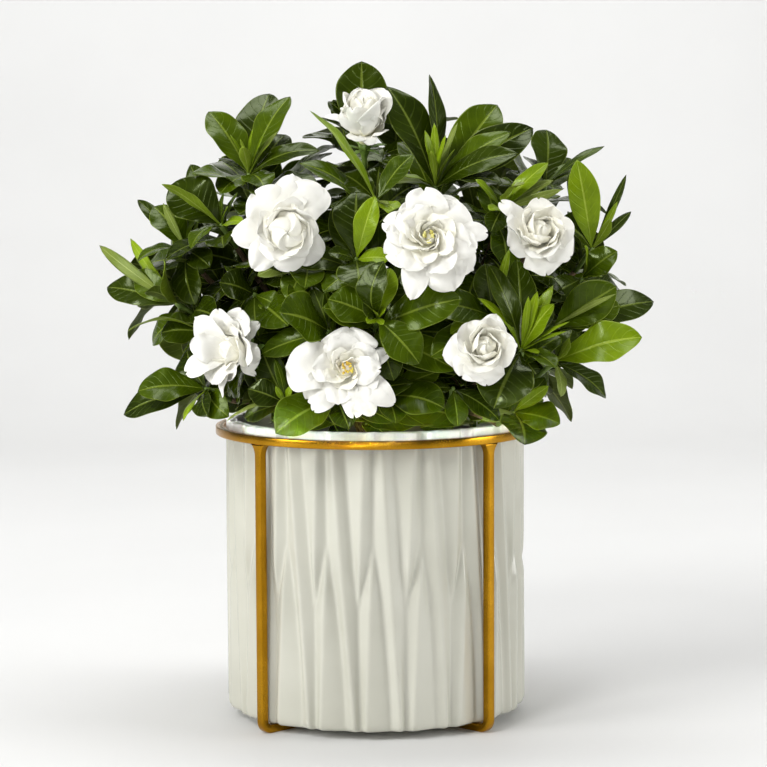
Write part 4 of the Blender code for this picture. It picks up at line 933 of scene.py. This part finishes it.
def petalFinish(name, looks):
    finish = Finish(name, Subsurface_Weight=0.12, Subsurface_Scale=0.002, Specular_IOR_Level=0.2,
                    Subsurface_Radius=(1.0, 0.98, 0.9))
    u, along = finish.bladeMap()
    places = {0: finish.times(u, 26.0), 1: finish.times(along, 2.0), 2: finish.tint()}
    lines = finish.noise(1.0, 3.0, finish.put("CombineXYZ", places))
    share = finish.plus(finish.ease(along, 0.12, 0.75), finish.times(lines, 0.12))
    colour = finish.mix(finish.ease(along, 0.02, 0.4), looks["base"], looks["body"])
    colour = finish.mix(finish.times(share, 0.75), colour, looks["edge"])
    finish.wire("Base Color", colour)
    finish.rough(finish.noise(220.0, 2.0), 0.3, 0.7, 0.42, 0.58)
    height = finish.plus(lines, finish.times(finish.noise(500.0, 3.0), 0.3))
    finish.bump(height, 0.0003, 0.35)
    return finish.material


# Dark and light tone of each of the other finishes, and of the fleck or speck on it.
finishTones = {
    "twigGreen": ((0.075, 0.13, 0.015), (0.16, 0.24, 0.04)),
    "calyxGreen": ((0.10, 0.19, 0.02), (0.22, 0.34, 0.06)),
    "stamenPale": ((0.66, 0.60, 0.14), (0.80, 0.78, 0.34)),
    "stamenGold": ((0.62, 0.36, 0.02), (0.80, 0.66, 0.10)),
    "bark": ((0.055, 0.033, 0.016), (0.21, 0.145, 0.08), (0.34, 0.28, 0.19)),
    "pottingMix": ((0.012, 0.007, 0.004), (0.07, 0.042, 0.022), (0.30, 0.26, 0.20)),
    "barkChips": ((0.025, 0.013, 0.007), (0.16, 0.095, 0.05)),
    "potGlaze": ((0.52, 0.515, 0.435), (0.58, 0.575, 0.495), (0.42, 0.40, 0.33)),
    # The lip above the ring is painted near white, much paler than the wall: painted light for the brightness
    # the lip shows.
    "potLipPaintedLight": (0.93, 0.93, 0.90),
    "standGold": ((0.38, 0.185, 0.008), (0.48, 0.245, 0.014)),
    "growerPlastic": ((0.012, 0.012, 0.012), (0.028, 0.027, 0.026)),
    "paleFloor": ((0.77, 0.77, 0.76), (0.79, 0.79, 0.78)),
}


def greenFinish(name):
    finish = Finish(name, Specular_IOR_Level=0.4, Coat_Weight=0.1, Coat_Roughness=0.3)
    patch = finish.noise(160.0, 3.0)
    finish.tones(patch, 0.3, 0.7, *finishTones[name])
    finish.rough(patch, 0.3, 0.7, 0.4, 0.6)
    finish.bump(finish.noise(900.0, 2.0), 0.0002, 0.4)
    return finish.material


def barkFinish():
    dark, light, flecks = finishTones["bark"]
    finish = Finish("bark", Specular_IOR_Level=0.25)
    u, along = finish.bladeMap()
    places = {0: finish.times(u, 5.0), 1: finish.times(along, 1.2)}
    fissure = finish.noise(4.0, 6.0, finish.put("CombineXYZ", places), 0.65)
    fleck = finish.noise(420.0, 4.0)
    colour = finish.mix(finish.ease(fissure, 0.35, 0.65), dark, light)
    finish.tones(fleck, 0.58, 0.75, colour, flecks, 0.6)
    finish.rough(fissure, 0.3, 0.7, 0.75, 0.92)
    finish.bump(finish.plus(fissure, finish.times(fleck, 0.4)), 0.0008, 0.8)
    return finish.material


def soilFinish():
    dark, light, grit = finishTones["pottingMix"]
    finish = Finish("pottingMix", Specular_IOR_Level=0.2)
    coarse = finish.noise(170.0, 6.0, roughness=0.7)
    crumb = finish.put("TexVoronoi", {"Vector": finish.place(), "Scale": 420.0})
    colour = finish.mix(finish.ease(coarse, 0.35, 0.65), dark, light)
    finish.tones(finish.noise(900.0, 2.0), 0.66, 0.72, colour, grit, 0.8)
    finish.rough(coarse, 0.3, 0.7, 0.85, 0.98)
    finish.bump(finish.plus(coarse, finish.times(crumb, 1.4)), 0.002, 0.9)
    return finish.material


def chipFinish():
    finish = Finish("barkChips", Specular_IOR_Level=0.25)
    patch = finish.plus(finish.times(finish.tint(), 0.7), finish.times(finish.noise(300.0, 4.0), 0.5))
    finish.tones(patch, 0.2, 0.9, *finishTones["barkChips"])
    finish.rough(patch, 0.2, 0.9, 0.8, 0.95)
    finish.bump(finish.noise(700.0, 5.0), 0.0008, 0.8)
    return finish.material


def glazeFinish():
    dark, light, specks = finishTones["potGlaze"]
    finish = Finish("potGlaze", Coat_Weight=0.6, Coat_Roughness=0.06, Specular_IOR_Level=0.5)
    cloud = finish.noise(14.0, 3.0)
    speck = finish.noise(1500.0, 2.0)
    colour = finish.mix(finish.ease(cloud, 0.3, 0.7), dark, light)
    colour = finish.mix(finish.ease(speck, 0.74, 0.8, 0.0, 0.25), colour, specks)
    height = finish.put("SeparateXYZ", {0: finish.place()}, output=2)
    # Painted light: above the ring the glaze turns near white, a painted highlight on the lip.
    finish.tones(height, 0.1965, 0.1985, colour, finishTones["potLipPaintedLight"])  # heights in metres
    finish.rough(finish.noise(35.0, 3.0), 0.3, 0.7, 0.20, 0.26)
    finish.bump(finish.noise(30.0, 1.0), 0.0004, 0.3)
    return finish.material


def goldFinish():
    finish = Finish("standGold", Metallic=1.0, Specular_IOR_Level=0.5)
    cloud = finish.noise(45.0, 4.0)
    fine = finish.noise(1800.0, 2.0)
    finish.tones(cloud, 0.3, 0.7, *finishTones["standGold"])
    share = finish.plus(finish.times(cloud, 0.5), finish.times(fine, 0.5))
    finish.rough(share, 0.3, 0.7, 0.17, 0.3)
    finish.bump(finish.plus(fine, finish.times(cloud, 0.5)), 0.0001, 0.35)
    return finish.material


def plasticFinish():
    finish = Finish("growerPlastic", Specular_IOR_Level=0.4)
    cloud = finish.noise(80.0, 3.0)
    finish.wire("Base Color", finish.mix(cloud, *finishTones["growerPlastic"]))
    finish.rough(cloud, 0.3, 0.7, 0.5, 0.65)
    finish.bump(finish.noise(1200.0, 2.0), 0.0002, 0.4)
    return finish.material


def floorFinish():
    finish = Finish("paleFloor", Specular_IOR_Level=0.2)
    cloud = finish.noise(3.0, 3.0)
    finish.tones(cloud, 0.3, 0.7, *finishTones["paleFloor"])
    finish.rough(cloud, 0.3, 0.7, 0.55, 0.65)
    return finish.material


leafFinishes = [leafFinish(name, looks) for name, looks in leafLooks.items()]
twigGreen = greenFinish("twigGreen")
calyxGreen = greenFinish("calyxGreen")


# One piece for each shoot, and one for the leaves along the limbs.
def makeShoots(settled, extra):
    rng = np.random.default_rng(23)
    for name, (heart, axis, leaves) in settled.items():
        piece = Piece()
        for blade, age in leaves + extra[name]:
            leafGrid(piece, blade, age, rng)
        path = [heart - axis * twigLength, heart - axis * 8, heart - axis * 2, heart + axis * 1.5]
        rod(piece, path, (twigRadius, twigRadius, 2.2, 1.2), 10, 6, rng.uniform(), rounded=True)
        piece.make("leaves_" + name[6:], leafFinishes + [twigGreen], name)
    piece = Piece()
    for blade, age in extra["inner"]:
        leafGrid(piece, blade, age, rng)
    piece.make("leaves_inner", leafFinishes)


# Inner petals of each bloom from the outside in: (petals, length, width, lean, arch, cup, roll).
# A bud is a closed middle of wrapped petals: (radius, height, how many wrap it). Pollen 1 is pale, 2 is gold.
# Ruffle scales the waves of the outer petals, slim their width, and point how far their ends may narrow.
bloomInsides = {
    "crown": {"rings": ((5, 33, 30, 22, -0.17, 0.6, 16), (4, 31, 25, 13, -0.24, 0.7, 24)),
              "bud": (8.5, 30, 4)},
    "upper_left": {"rings": ((5, 26, 27, 44, -0.08, 0.35, 14), (4, 25, 26, 31, -0.14, 0.45, 18)),
                   "bud": (12.0, 24, 4), "stamens": 5, "pollen": 1, "ruffle": 1.2, "slim": 0.84},
    "upper_middle": {"rings": ((6, 29, 25, 61, -0.02, 0.2, 10), (6, 24, 20, 46, -0.08, 0.4, 18),
                               (6, 18, 14, 30, -0.18, 0.6, 26), (4, 14, 9, 15, -0.2, 0.7, 30)),
                     "stamens": 7, "pollen": 1, "ruffle": 1.3},
    "upper_right": {"rings": ((4, 26, 24, 48, -0.08, 0.35, 14), (5, 24, 22, 33, -0.18, 0.5, 22),
                              (4, 22, 18, 19, -0.24, 0.7, 26)),
                    "bud": (6.5, 19, 3), "ruffle": 1.1, "slim": 0.92, "point": 0.6},
    "left": {"rings": ((6, 26, 22, 52, -0.05, 0.3, 16), (5, 25, 20, 37, -0.14, 0.45, 22),
                       (5, 22, 17, 22, -0.22, 0.7, 28)),
             "bud": (7.0, 19, 3), "ruffle": 1.3},
    "lower_middle": {"rings": ((5, 25, 22, 59, -0.02, 0.3, 12), (5, 19, 16, 45, -0.1, 0.5, 20),
                               (4, 14, 10, 30, -0.15, 0.6, 26)),
                     "stamens": 10, "pollen": 2, "ruffle": 1.5},
    "lower_right": {"rings": ((4, 25, 25, 44, -0.1, 0.4, 16), (4, 24, 22, 30, -0.18, 0.5, 24),
                              (3, 22, 18, 18, -0.24, 0.7, 30)),
                    "bud": (6.5, 19, 4), "ruffle": 1.5, "slim": 0.92, "point": 0.6},
}
innerPetal = {"curl": 0.2, "tipCurl": 0.09, "thickness": 0.8}
stamenLooks = {"length": 6.0, "radius": 0.75, "rise": 8.0, "spread": 24, "curl": 2.2}
stamenSwell = np.array([0.6, 0.9, 1, 1, 1.1, 1.1, 1.1, 1, 0.9, 0.7, 0.4])


# The closed middle of a bloom: petals wrapped round each other, each edge a soft step over the next.
def makeBud(piece, base, facing, right, bud, rng):
    radius, height, wraps = bud
    rows, around = 34, 96
    t = np.linspace(0, 1, rows)[:, None]
    angle = np.linspace(0, 2 * math.pi, around, endpoint=False)[None, :]
    phase = rng.uniform(0, 1)
    share = (angle / (2 * math.pi) * wraps + 2.2 * t**1.3 + phase) % 1
    step = share * (1 - smooth(share, 0.92, 1.0))
    shape = np.sin(np.clip(t * 0.72 + 0.1, 0, 1) * math.pi) ** 0.6 * (1 - 0.9 * smooth(t, 0.72, 1.0))
    reach = radius * shape * (0.82 + 0.3 * step * smooth(t, 0.1, 0.4) + 0.02 * np.sin(angle * 5 + 6 * t))
    up = height * (t + 0.12 * step * smooth(t, 0.55, 0.9) - 0.1 * smooth(t, 0.9, 1.0))
    ahead = np.cross(facing, right)
    out = np.cos(angle)[..., None] * right + np.sin(angle)[..., None] * ahead
    points = base + out * reach[..., None] + facing * np.broadcast_to(up, reach.shape)[..., None]
    maps = np.stack(np.broadcast_arrays(share, 0.25 + 0.6 * t), axis=2).reshape(-1, 2)
    piece.add(points.reshape(-1, 3), ringFaces(rows, around, False), 1, maps, rng.uniform())


# A direction across a bloom to count its petals from.
def acrossBloom(facing):
    return unit(np.cross(facing, [0.1, 0.05, 1.0]))


# Each bloom: its outer petals, rings of inner ones, a bud or stamens, and the cup behind it.
def makeBlooms():
    rng = np.random.default_rng(5)
    outer = petalFinish("petalOuter", petalLooks["outer"])
    inner = petalFinish("petalInner", petalLooks["inner"])
    pale = greenFinish("stamenPale")
    gold = greenFinish("stamenGold")
    for name, bloom in blooms.items():
        receptacle, facing, middle, _ = bloom
        base = receptacle + facing * petalSpring
        right = acrossBloom(facing)
        piece = Piece()
        insides = bloomInsides[name]
        ruffle = insides.get("ruffle", 0.8)
        for blade in bloomPetals(*bloom):
            blade["width"] *= insides.get("slim", 0.95)
            point = rng.uniform(0.0, insides.get("point", 0.35))
            wave, frill = petalShape["wave"] * ruffle, petalShape["frill"] * ruffle
            petalGrid(piece, blade, 0, rng, wave=wave, frill=frill, point=point)
        for ring, (count, length, width, lean, arch, cup, roll) in enumerate(insides["rings"]):
            for k in range(count):
                clock = 360 / count * k + 31 * ring + rng.uniform(-7, 7)
                out = spin(right, facing, clock)
                tilt = math.radians(lean + rng.uniform(-4, 4))
                reach = length * rng.uniform(0.94, 1.04)
                tip = base + (facing * math.cos(tilt) + out * math.sin(tilt)) * reach
                blade = makeBlade(base, tip, facing, width * rng.uniform(0.93, 1.06), roll, arch)
                petalGrid(piece, blade, int(ring > 0), rng, cup=cup, **innerPetal)
        if "bud" in insides:
            makeBud(piece, base, facing, right, insides["bud"], rng)
        for k in range(insides.get("stamens", 0)):
            out = spin(right, facing, 360 / insides["stamens"] * k + rng.uniform(-20, 20))
            foot = base + facing * stamenLooks["rise"] * middle / 16 + out * rng.uniform(0.8, 2.6)
            lean = math.radians(stamenLooks["spread"] * rng.uniform(0.3, 1.5))
            step = facing * math.cos(lean) + out * math.sin(lean)
            step = step * stamenLooks["length"] * rng.uniform(0.8, 1.2)
            aside = np.cross(out, facing) * stamenLooks["curl"] * rng.uniform(-1, 1)
            path = smoothPath([foot, foot + step * 0.5 + facing * 1.2 + aside, foot + step], 5)
            radii = stamenLooks["radius"] * stamenSwell
            rod(piece, path, radii, 8, 1 + insides["pollen"], rng.uniform(), rounded=True)
        neck = [base - facing * 3.5, base, base + facing * 4, base + facing * 8]
        rod(piece, neck, (3.6, 3.9, 4.6, 4.0), 16, 1, 0.5, rounded=True)
        piece.make("flower_" + name, [outer, inner, pale, gold], "bloom_" + name)
        makeCup(name, bloom, rng)


# The green cup, its ribs and pointed sepals, and the stalk below it.
cupLooks = {"sides": 36, "ribs": 6, "ribHeight": 0.1, "sepals": 6, "sepalLength": 15.0, "sepalWidth": 3.6,
            "sepalDrop": 5.5, "sepalOut": 3.2, "radii": (1.7, 1.8, 1.9, 2.3, 3.0, 3.4, 3.7, 4.3)}


def makeCup(name, bloom, rng):
    place, facing, middle, _ = bloom
    top = middle * (1 - bloomSink) + clearance
    depths = np.array([stalkLength, 18, 13, 11, 8.5, 6.5, 4.5, top])
    radii = np.array(cupLooks["radii"])
    piece = Piece()
    sides = cupLooks["sides"]
    path = [place - facing * d for d in depths]
    points, _ = tubeSolid(path, radii, sides, facing)
    points = points.reshape(len(path), sides, 3)
    ridge = 1 + cupLooks["ribHeight"] * np.cos(np.arange(sides) / sides * 2 * math.pi * cupLooks["ribs"])
    strength = np.clip((radii - 1.9) / 1.5, 0, 1)[:, None]
    grow = 1 + (ridge[None, :] - 1) * strength
    centre = np.array(path)[:, None]
    points = centre + (points - centre) * grow[..., None]
    piece.add(points.reshape(-1, 3), ringFaces(len(path), sides, False), 0)
    right = acrossBloom(facing)
    for k in range(cupLooks["sepals"]):
        out = spin(right, facing, 360 / cupLooks["sepals"] * k + 20)
        base = place - facing * cupLooks["sepalDrop"] + out * cupLooks["sepalOut"]
        heading = out * rng.uniform(0.75, 0.95) + facing * rng.uniform(0.1, 0.3)
        tip = base + heading * cupLooks["sepalLength"]
        blade = makeBlade(base, tip, facing, cupLooks["sepalWidth"], 0, 0.08)
        leafGrid(piece, blade, 0, rng)
    piece.marks = [0] * len(piece.marks)
    piece.make("cup_" + name, [calyxGreen], "calyx_" + name)


# Leaf scars swell the wood every nodeGap millimetres; roughen is a share of its radius.
stemLooks = {"crownSides": 18, "limbSides": 14, "branchSides": 10, "nodeGap": 11.0, "nodeSwell": 0.28,
             "roughLimb": 0.06, "roughBranch": 0.05}


# Radii from first to last along a path, swollen at the leaf scars.
def knottyRadii(path, first, last):
    fromScar = (runAlong(path) / stemLooks["nodeGap"]) % 1 - 0.5
    swell = np.exp(-((fromScar / 0.16) ** 2)) * stemLooks["nodeSwell"]
    return np.linspace(first, last, len(path)) + swell


def makeStems():
    rng = np.random.default_rng(3)
    piece = Piece()
    rough = stemLooks["roughLimb"]
    heights = (-crownDepth, -crownDepth * 0.7, -crownDepth * 0.3, 0, 3, 6, 9)
    crown = [(0, 0, soilTop + h) for h in heights]
    crownRadii = (6.5, 8.5, 9.5, 9.3, 8.6, 7.0, 4.5)
    rod(piece, crown, crownRadii, stemLooks["crownSides"], 0, 0.5, rough, rng, rounded=True)
    for path in limbPaths(fineLimb).values():
        radii = knottyRadii(path, *limbRadii)
        rod(piece, path, radii, stemLooks["limbSides"], 0, rng.uniform(), rough, rng, rounded=True)
    coarse = limbPaths()
    for foot, axis in branchEnds():
        path = branchPath(coarse, foot, axis, 12)
        radii = knottyRadii(path, branchRadii[0], branchRadii[-1])
        rod(piece, path, radii, stemLooks["branchSides"], 0, rng.uniform(), stemLooks["roughBranch"], rng)
    piece.make("stems", [barkFinish()], "woody_stems")


# A closed body turned round Z from (radius, height) rows; radiusAt may change the radius round each row.
def turned(profile, segments, radiusAt=None):
    a = np.arange(segments) / segments * 2 * math.pi
    points = []
    for index, (radius, height) in enumerate(profile):
        r = np.full(segments, float(radius)) if radiusAt is None else radiusAt(index, radius, height, a)
        points.append(np.stack([r * np.sin(a), -r * np.cos(a), np.full(segments, float(height))], axis=1))
    return np.concatenate(points), ringFaces(len(profile), segments, False)


# The pleats of the wall. Each unit of the pattern has three folds out (A, B, C) with folds in between them.
# A runs the full height, B closes in a point at vee, and C opens at apex and runs down to the foot. Their
# places are degrees round the pot; apart keeps two that meet in their order.
pleats = {"units": 20, "turn": -6.0, "vee": 85.0, "apex": 131.0, "depth": 4.8, "round": 0.6, "wander": 0.5,
          "foldA": -10.0, "leanA": 8.3, "inAB": -5.8, "foldB": 2.8, "inBC": 5.4, "foldC": 5.7, "leanC": 3.4,
          "inCA": 6.5, "apart": 0.02, "samples": 7}


# How far the wall stands out at bearings in radians and one height: 1 on a fold out, -1 on a fold in.
def pleatRelief(angle, height):
    span = 360 / pleats["units"]
    turn = np.degrees(angle) - pleats["turn"] + pleats["wander"] * np.sin(5 * angle + height / 60)
    here = (turn - pleats["foldA"]) % span + pleats["foldA"]
    down = (potRim - height) / potRim
    rise = min(max((height - pleats["vee"]) / (potRim - pleats["vee"]), 0), 1)
    cross = min(max((height - pleats["vee"]) / (pleats["apex"] - pleats["vee"]), 0), 1)
    fall = min(max((pleats["apex"] - height) / pleats["apex"], 0), 1)
    foldA = pleats["foldA"] + pleats["leanA"] * down
    foldC = pleats["foldC"] - pleats["leanC"] * fall
    inCA = pleats["foldC"] + pleats["inCA"] * (1 - (1 - fall) ** 2)
    inAB, foldB, inBC = pleats["inAB"] * rise, pleats["foldB"] * rise, pleats["inBC"] * cross
    places = np.array([foldA, inAB, foldB, inBC, foldC, inCA, foldA + span]) + np.arange(7) * pleats["apart"]
    tall = [1, -1, -1 + 2 * min(rise * 4, 1), -1, -1 + 2 * min(fall * 4, 1), -1, 1]
    total = 0
    for offset in np.linspace(-1, 1, pleats["samples"]) * pleats["round"]:
        wrapped = (here + offset - places[0]) % span + places[0]
        total = total + np.interp(wrapped, places, tall)
    return total / pleats["samples"]


# The white pot: foot, pleated wall, upright rounded lip, plain inside.
def makePot():
    foot, top, rim, wall = potSizes["footRadius"], potTopRadius, potRim, potWall
    floor = potSizes["floor"]
    lipRound = potSizes["lipRound"]
    profile = [(1, floor), (foot - 5, floor), (foot - 3, floor + 0.3)]
    profile += [(foot - 1.5, floor + 1.2), (foot - 0.5, floor + 2.6)]
    fades = [0, 0.6, 0.7, 0.8, 0.9]
    for height in np.linspace(floor + 5, rim - lipRound, 68):
        profile.append((foot + (top - foot) * (height - floor) / (rim - floor), height))
        fades.append(1.0)
    for lean in np.linspace(0.15, math.pi, 11):
        side = np.sign(math.cos(lean)) * abs(math.cos(lean)) ** 0.5
        profile.append((top - wall / 2 + wall / 2 * side, rim - lipRound + lipRound * math.sin(lean) ** 0.6))
        fades.append(0.95 if lean < 1.6 else 0.4)
    profile += [(top - wall, height) for height in np.linspace(196, floor + 16, 12)]
    profile += [(top - wall - 3, floor + 10), (top - wall - 9, floor + 7), (1, floor + 6.5)]
    fades += [0] * 15

    def radiusAt(index, radius, height, angle):
        relief = pleatRelief(angle, min(height, 200)) * pleats["depth"] / 2
        return radius + (relief + potSizes["crestHeight"] - pleats["depth"] / 2) * fades[index]

    piece = Piece()
    piece.add(*turned(profile, pleats["units"] * 30, radiusAt), 0)
    piece.make("fluted_pot", [glazeFinish()], "ceramic_pot")


# Corners of a square section with rounded edges, across and up.
def barSection(width, height, rounding):
    section = []
    for corner, (x, y) in enumerate(((1, 1), (-1, 1), (-1, -1), (1, -1))):
        for step in range(4):
            a = math.pi / 2 * (corner + step / 3)
            section.append((x * (width / 2 - rounding) + rounding * math.cos(a),
                            y * (height / 2 - rounding) + rounding * math.sin(a)))
    return section


# The gold ring of square bar, and two bars bent down and under the pot, widened where they meet the ring.
def makeStand():
    gold = goldFinish()
    rounding = standSizes["rounding"]
    middle = ringInner + barSize / 2
    piece = Piece()
    section = [(middle + x, ringHeight + y) for x, y in barSection(barSize, barSize, rounding)]
    around = 240
    points, _ = turned(section, around)
    faces = []
    for r in range(len(section)):
        for k in range(around):
            n = (k + 1) % around
            low, high = r * around, (r + 1) % len(section) * around
            faces.append((low + n, low + k, high + k, high + n))
    piece.add(points, faces, 0)
    piece.make("gold_ring", [gold], "stand_ring")

    legs = Piece()
    radius = standSizes["legInner"] + barSize / 2
    bend = standSizes["bend"] - barSize / 2
    top = ringHeight - barSize / 2
    half = [(radius, top - drop) for drop in (0, 0.8, 1.8, 3, 4.4, 6, 8, 60, 120)]
    half += [(radius - bend + bend * math.cos(a), barSize / 2 + bend - bend * math.sin(a))
             for a in np.linspace(0, math.pi / 2, 9)]
    half += [(60, barSize / 2), (1, barSize / 2)]
    line = half + [(-r, z) for r, z in reversed(half)]
    for bearing in standSizes["legBearings"]:
        out = outward(bearing)
        side = np.array([-out[1], out[0], 0.0])
        path = np.array([out * r + np.array([0, 0, z]) for r, z in line])
        heading = np.gradient(path, axis=0)
        rings = []
        for point, ahead in zip(path, heading):
            ahead = unit(ahead)
            inward = np.cross(ahead, side)
            flare = max(0.0, (point[2] - (top - 8)) / 8) ** 2.4 * 7.2
            for x, y in barSection(barSize + flare, barSize, rounding):
                rings.append(point + side * x + inward * y)
        legs.add(rings, ringFaces(len(path), 16, False), 0)
    legs.make("gold_legs", [gold], "stand_legs")


# The nursery pot, the lumpy soil in it, and bark chips lying on the soil.
def makeRootBall():
    grower = Piece()
    low = potSizes["floor"] + 6.8
    rim, wall = soilSizes["growerRim"], soilSizes["growerWall"]
    top, foot = soilSizes["growerTop"], soilSizes["growerFoot"]
    profile = [(1, low), (foot - 2, low), (foot, low + 1.5), (top, rim - 6), (top + 1.6, rim - 5)]
    profile += [(top + 1.6, rim - 0.6), (top + 0.9, rim), (top - 0.6, rim), (top - wall, rim - 1)]
    profile += [(foot - wall, low + wall), (1, low + wall)]
    grower.add(*turned(profile, 120), 0)
    grower.make("nursery_pot", [plasticFinish()], "grower_pot")

    rng = np.random.default_rng(17)
    bumps = rng.uniform(0, 2 * math.pi, (14, 3))
    soil = Piece()
    radius = soilSizes["radius"]
    rows = [(1, low + 2.2), (foot - 2.6, low + 2.2), (radius, soilTop - 3)]
    rows += [(r, soilTop) for r in np.linspace(radius - 1.5, 9, 34)]
    points, faces = turned(rows, 150)
    for wave, (turn, phase, size) in enumerate(bumps):
        reach = 0.06 + wave * 0.045
        lump = np.sin(points[:, 0] * reach * math.cos(turn) + points[:, 1] * reach * math.sin(turn) + phase)
        points[:, 2] += np.where(points[:, 2] > soilTop - 1, lump * (0.75 - wave * 0.03), 0)
    points[:, 2] += np.where(points[:, 2] > soilTop - 4, rng.uniform(-0.35, 0.35, len(points)), 0)
    soil.add(points, faces, 0)
    soil.make("soil", [soilFinish()], "potting_mix")

    chips = Piece()
    corners = np.array([(x, y, z) for x in (-1, 1) for y in (-1, 1) for z in (-1, 1)], float)
    boxFaces = [(0, 1, 3, 2), (4, 6, 7, 5), (0, 4, 5, 1), (2, 3, 7, 6), (0, 2, 6, 4), (1, 5, 7, 3)]
    for _ in range(soilSizes["chips"]):
        reach = 12 + 72 * math.sqrt(rng.uniform())
        turn = rng.uniform(0, 2 * math.pi)
        size = np.array([rng.uniform(1.5, 4.5), rng.uniform(0.9, 2.2), rng.uniform(0.4, 1.0)])
        shape = corners * size * rng.uniform(0.6, 1.1, (8, 3))
        lean = unit(np.array([rng.uniform(-0.35, 0.35), rng.uniform(-0.35, 0.35), 1.0]))
        across = unit(np.cross(lean, [math.sin(turn * 7), math.cos(turn * 7), 0.2]))
        shape = shape[:, :1] * across + shape[:, 1:2] * np.cross(lean, across) + shape[:, 2:] * lean
        place = np.array([reach * math.sin(turn), reach * math.cos(turn), soilTop + rng.uniform(0.6, 1.8)])
        chips.add(shape + place, boxFaces, 0, None, rng.uniform())
    thing = chips.make("bark_chips", [chipFinish()])
    for face in thing.data.polygons:
        face.use_smooth = False


# The sweep of the floor, the camera and the world, in metres, degrees and millimetres of lens.
studio = {"floorWidth": 6.0, "floorFront": -3.0, "floorBack": 1.5, "sweep": 1.2, "wall": 3.6,
          "cameraPlace": (0.0068, -1.74, 0.391), "pitch": 5.4, "roll": 0.25, "lens": 119.64,
          "worldLight": 0.15, "worldSeen": 0.88}
# Each lamp: place, aimed at, width, height, spread in degrees, watts. The lip lamp is a low strip that
# reaches the lip of the pot under the leaves.
lamps = {
    "key": ((-0.95, -1.6, 1.7), (0, 0, 0.25), 0.6, 0.6, 180, 22),
    "left": ((-1.75, -1.0, 0.8), (0, 0, 0.2), 0.9, 0.9, 180, 26),
    "right": ((2.1, -0.5, 0.7), (0, 0, 0.2), 1.1, 1.1, 180, 24),
    "front": ((0.3, -2.8, 0.6), (0, 0, 0.25), 2.0, 2.0, 180, 8),
    "top": ((0.1, 0.4, 2.4), (0, 0, 0.2), 1.2, 1.2, 180, 6),
    "back": ((0.0, 0.4, 2.6), (0, 3.2, 0.9), 2.0, 2.0, 180, 54),
    "lip": ((-0.25, -1.5, 0.232), (0.0, -0.06, 0.2085), 0.24, 0.01, 1.2, 0.03),
}


# The floor that sweeps up behind, the lamps, the world and the camera.
def makeStudio():
    rows = [(studio["floorFront"], 0.0), (studio["floorBack"], 0.0)]
    back, sweep = studio["floorBack"], studio["sweep"]
    for a in np.linspace(0.1, math.pi / 2, 14):
        rows.append((back + sweep * math.sin(a), sweep * (1 - math.cos(a))))
    rows.append((back + sweep, studio["wall"]))
    wide = studio["floorWidth"] / 2
    points = [(x, y, z) for y, z in rows for x in (-wide, wide)]
    faces = [(2 * k, 2 * k + 1, 2 * k + 3, 2 * k + 2) for k in range(len(rows) - 1)]
    mesh = bpy.data.meshes.new("floor")
    mesh.from_pydata(points, [], faces)
    mesh.polygons.foreach_set("use_smooth", np.ones(len(faces), bool))
    mesh.materials.append(floorFinish())
    floor = placed("floor", mesh)
    for name, (place, aim, width, height, spread, watts) in lamps.items():
        light = bpy.data.lights.new(name, "AREA")
        light.shape = "RECTANGLE"
        light.size = width
        light.size_y = height
        light.spread = math.radians(spread)
        light.energy = watts
        lamp = placed(name, light)
        lamp.location = place
        lamp.rotation_euler = (Vector(aim) - Vector(place)).to_track_quat("-Z", "Y").to_euler()
    world = bpy.data.worlds.new("studio")
    world.use_nodes = True
    tree = world.node_tree
    sky = tree.nodes["Background"]
    sky.inputs[0].default_value = (1, 1, 1, 1)
    seen = tree.nodes.new("ShaderNodeLightPath")
    strength = tree.nodes.new("ShaderNodeMapRange")
    strength.inputs[3].default_value = studio["worldLight"]
    strength.inputs[4].default_value = studio["worldSeen"]
    tree.links.new(seen.outputs["Is Camera Ray"], strength.inputs[0])
    tree.links.new(strength.outputs[0], sky.inputs[1])
    bpy.context.scene.world = world
    camera = placed("camera", bpy.data.cameras.new("camera"))
    camera.data.sensor_width = 36
    camera.data.lens = studio["lens"]
    camera.location = studio["cameraPlace"]
    camera.rotation_euler = (math.radians(90 - studio["pitch"]), math.radians(studio["roll"]), 0)
    bpy.context.scene.camera = camera
    bpy.context.scene.view_settings.view_transform = "Standard"


makeStudio()
print("studio ready")
everything = plantObstacles()
settledShoots, leftOut = settlePlant(everything)
print("shoots settled, leaves left out:", leftOut)
fillers = fillerLeaves(settledShoots, everything)
print("filling leaves:", sum(len(f) for f in fillers.values()))
makeShoots(settledShoots, fillers)
print("leaves made")
makeBlooms()
print("blooms made")
makeStems()
makePot()
makeStand()
makeRootBall()
print("stems, pot, stand and soil made")
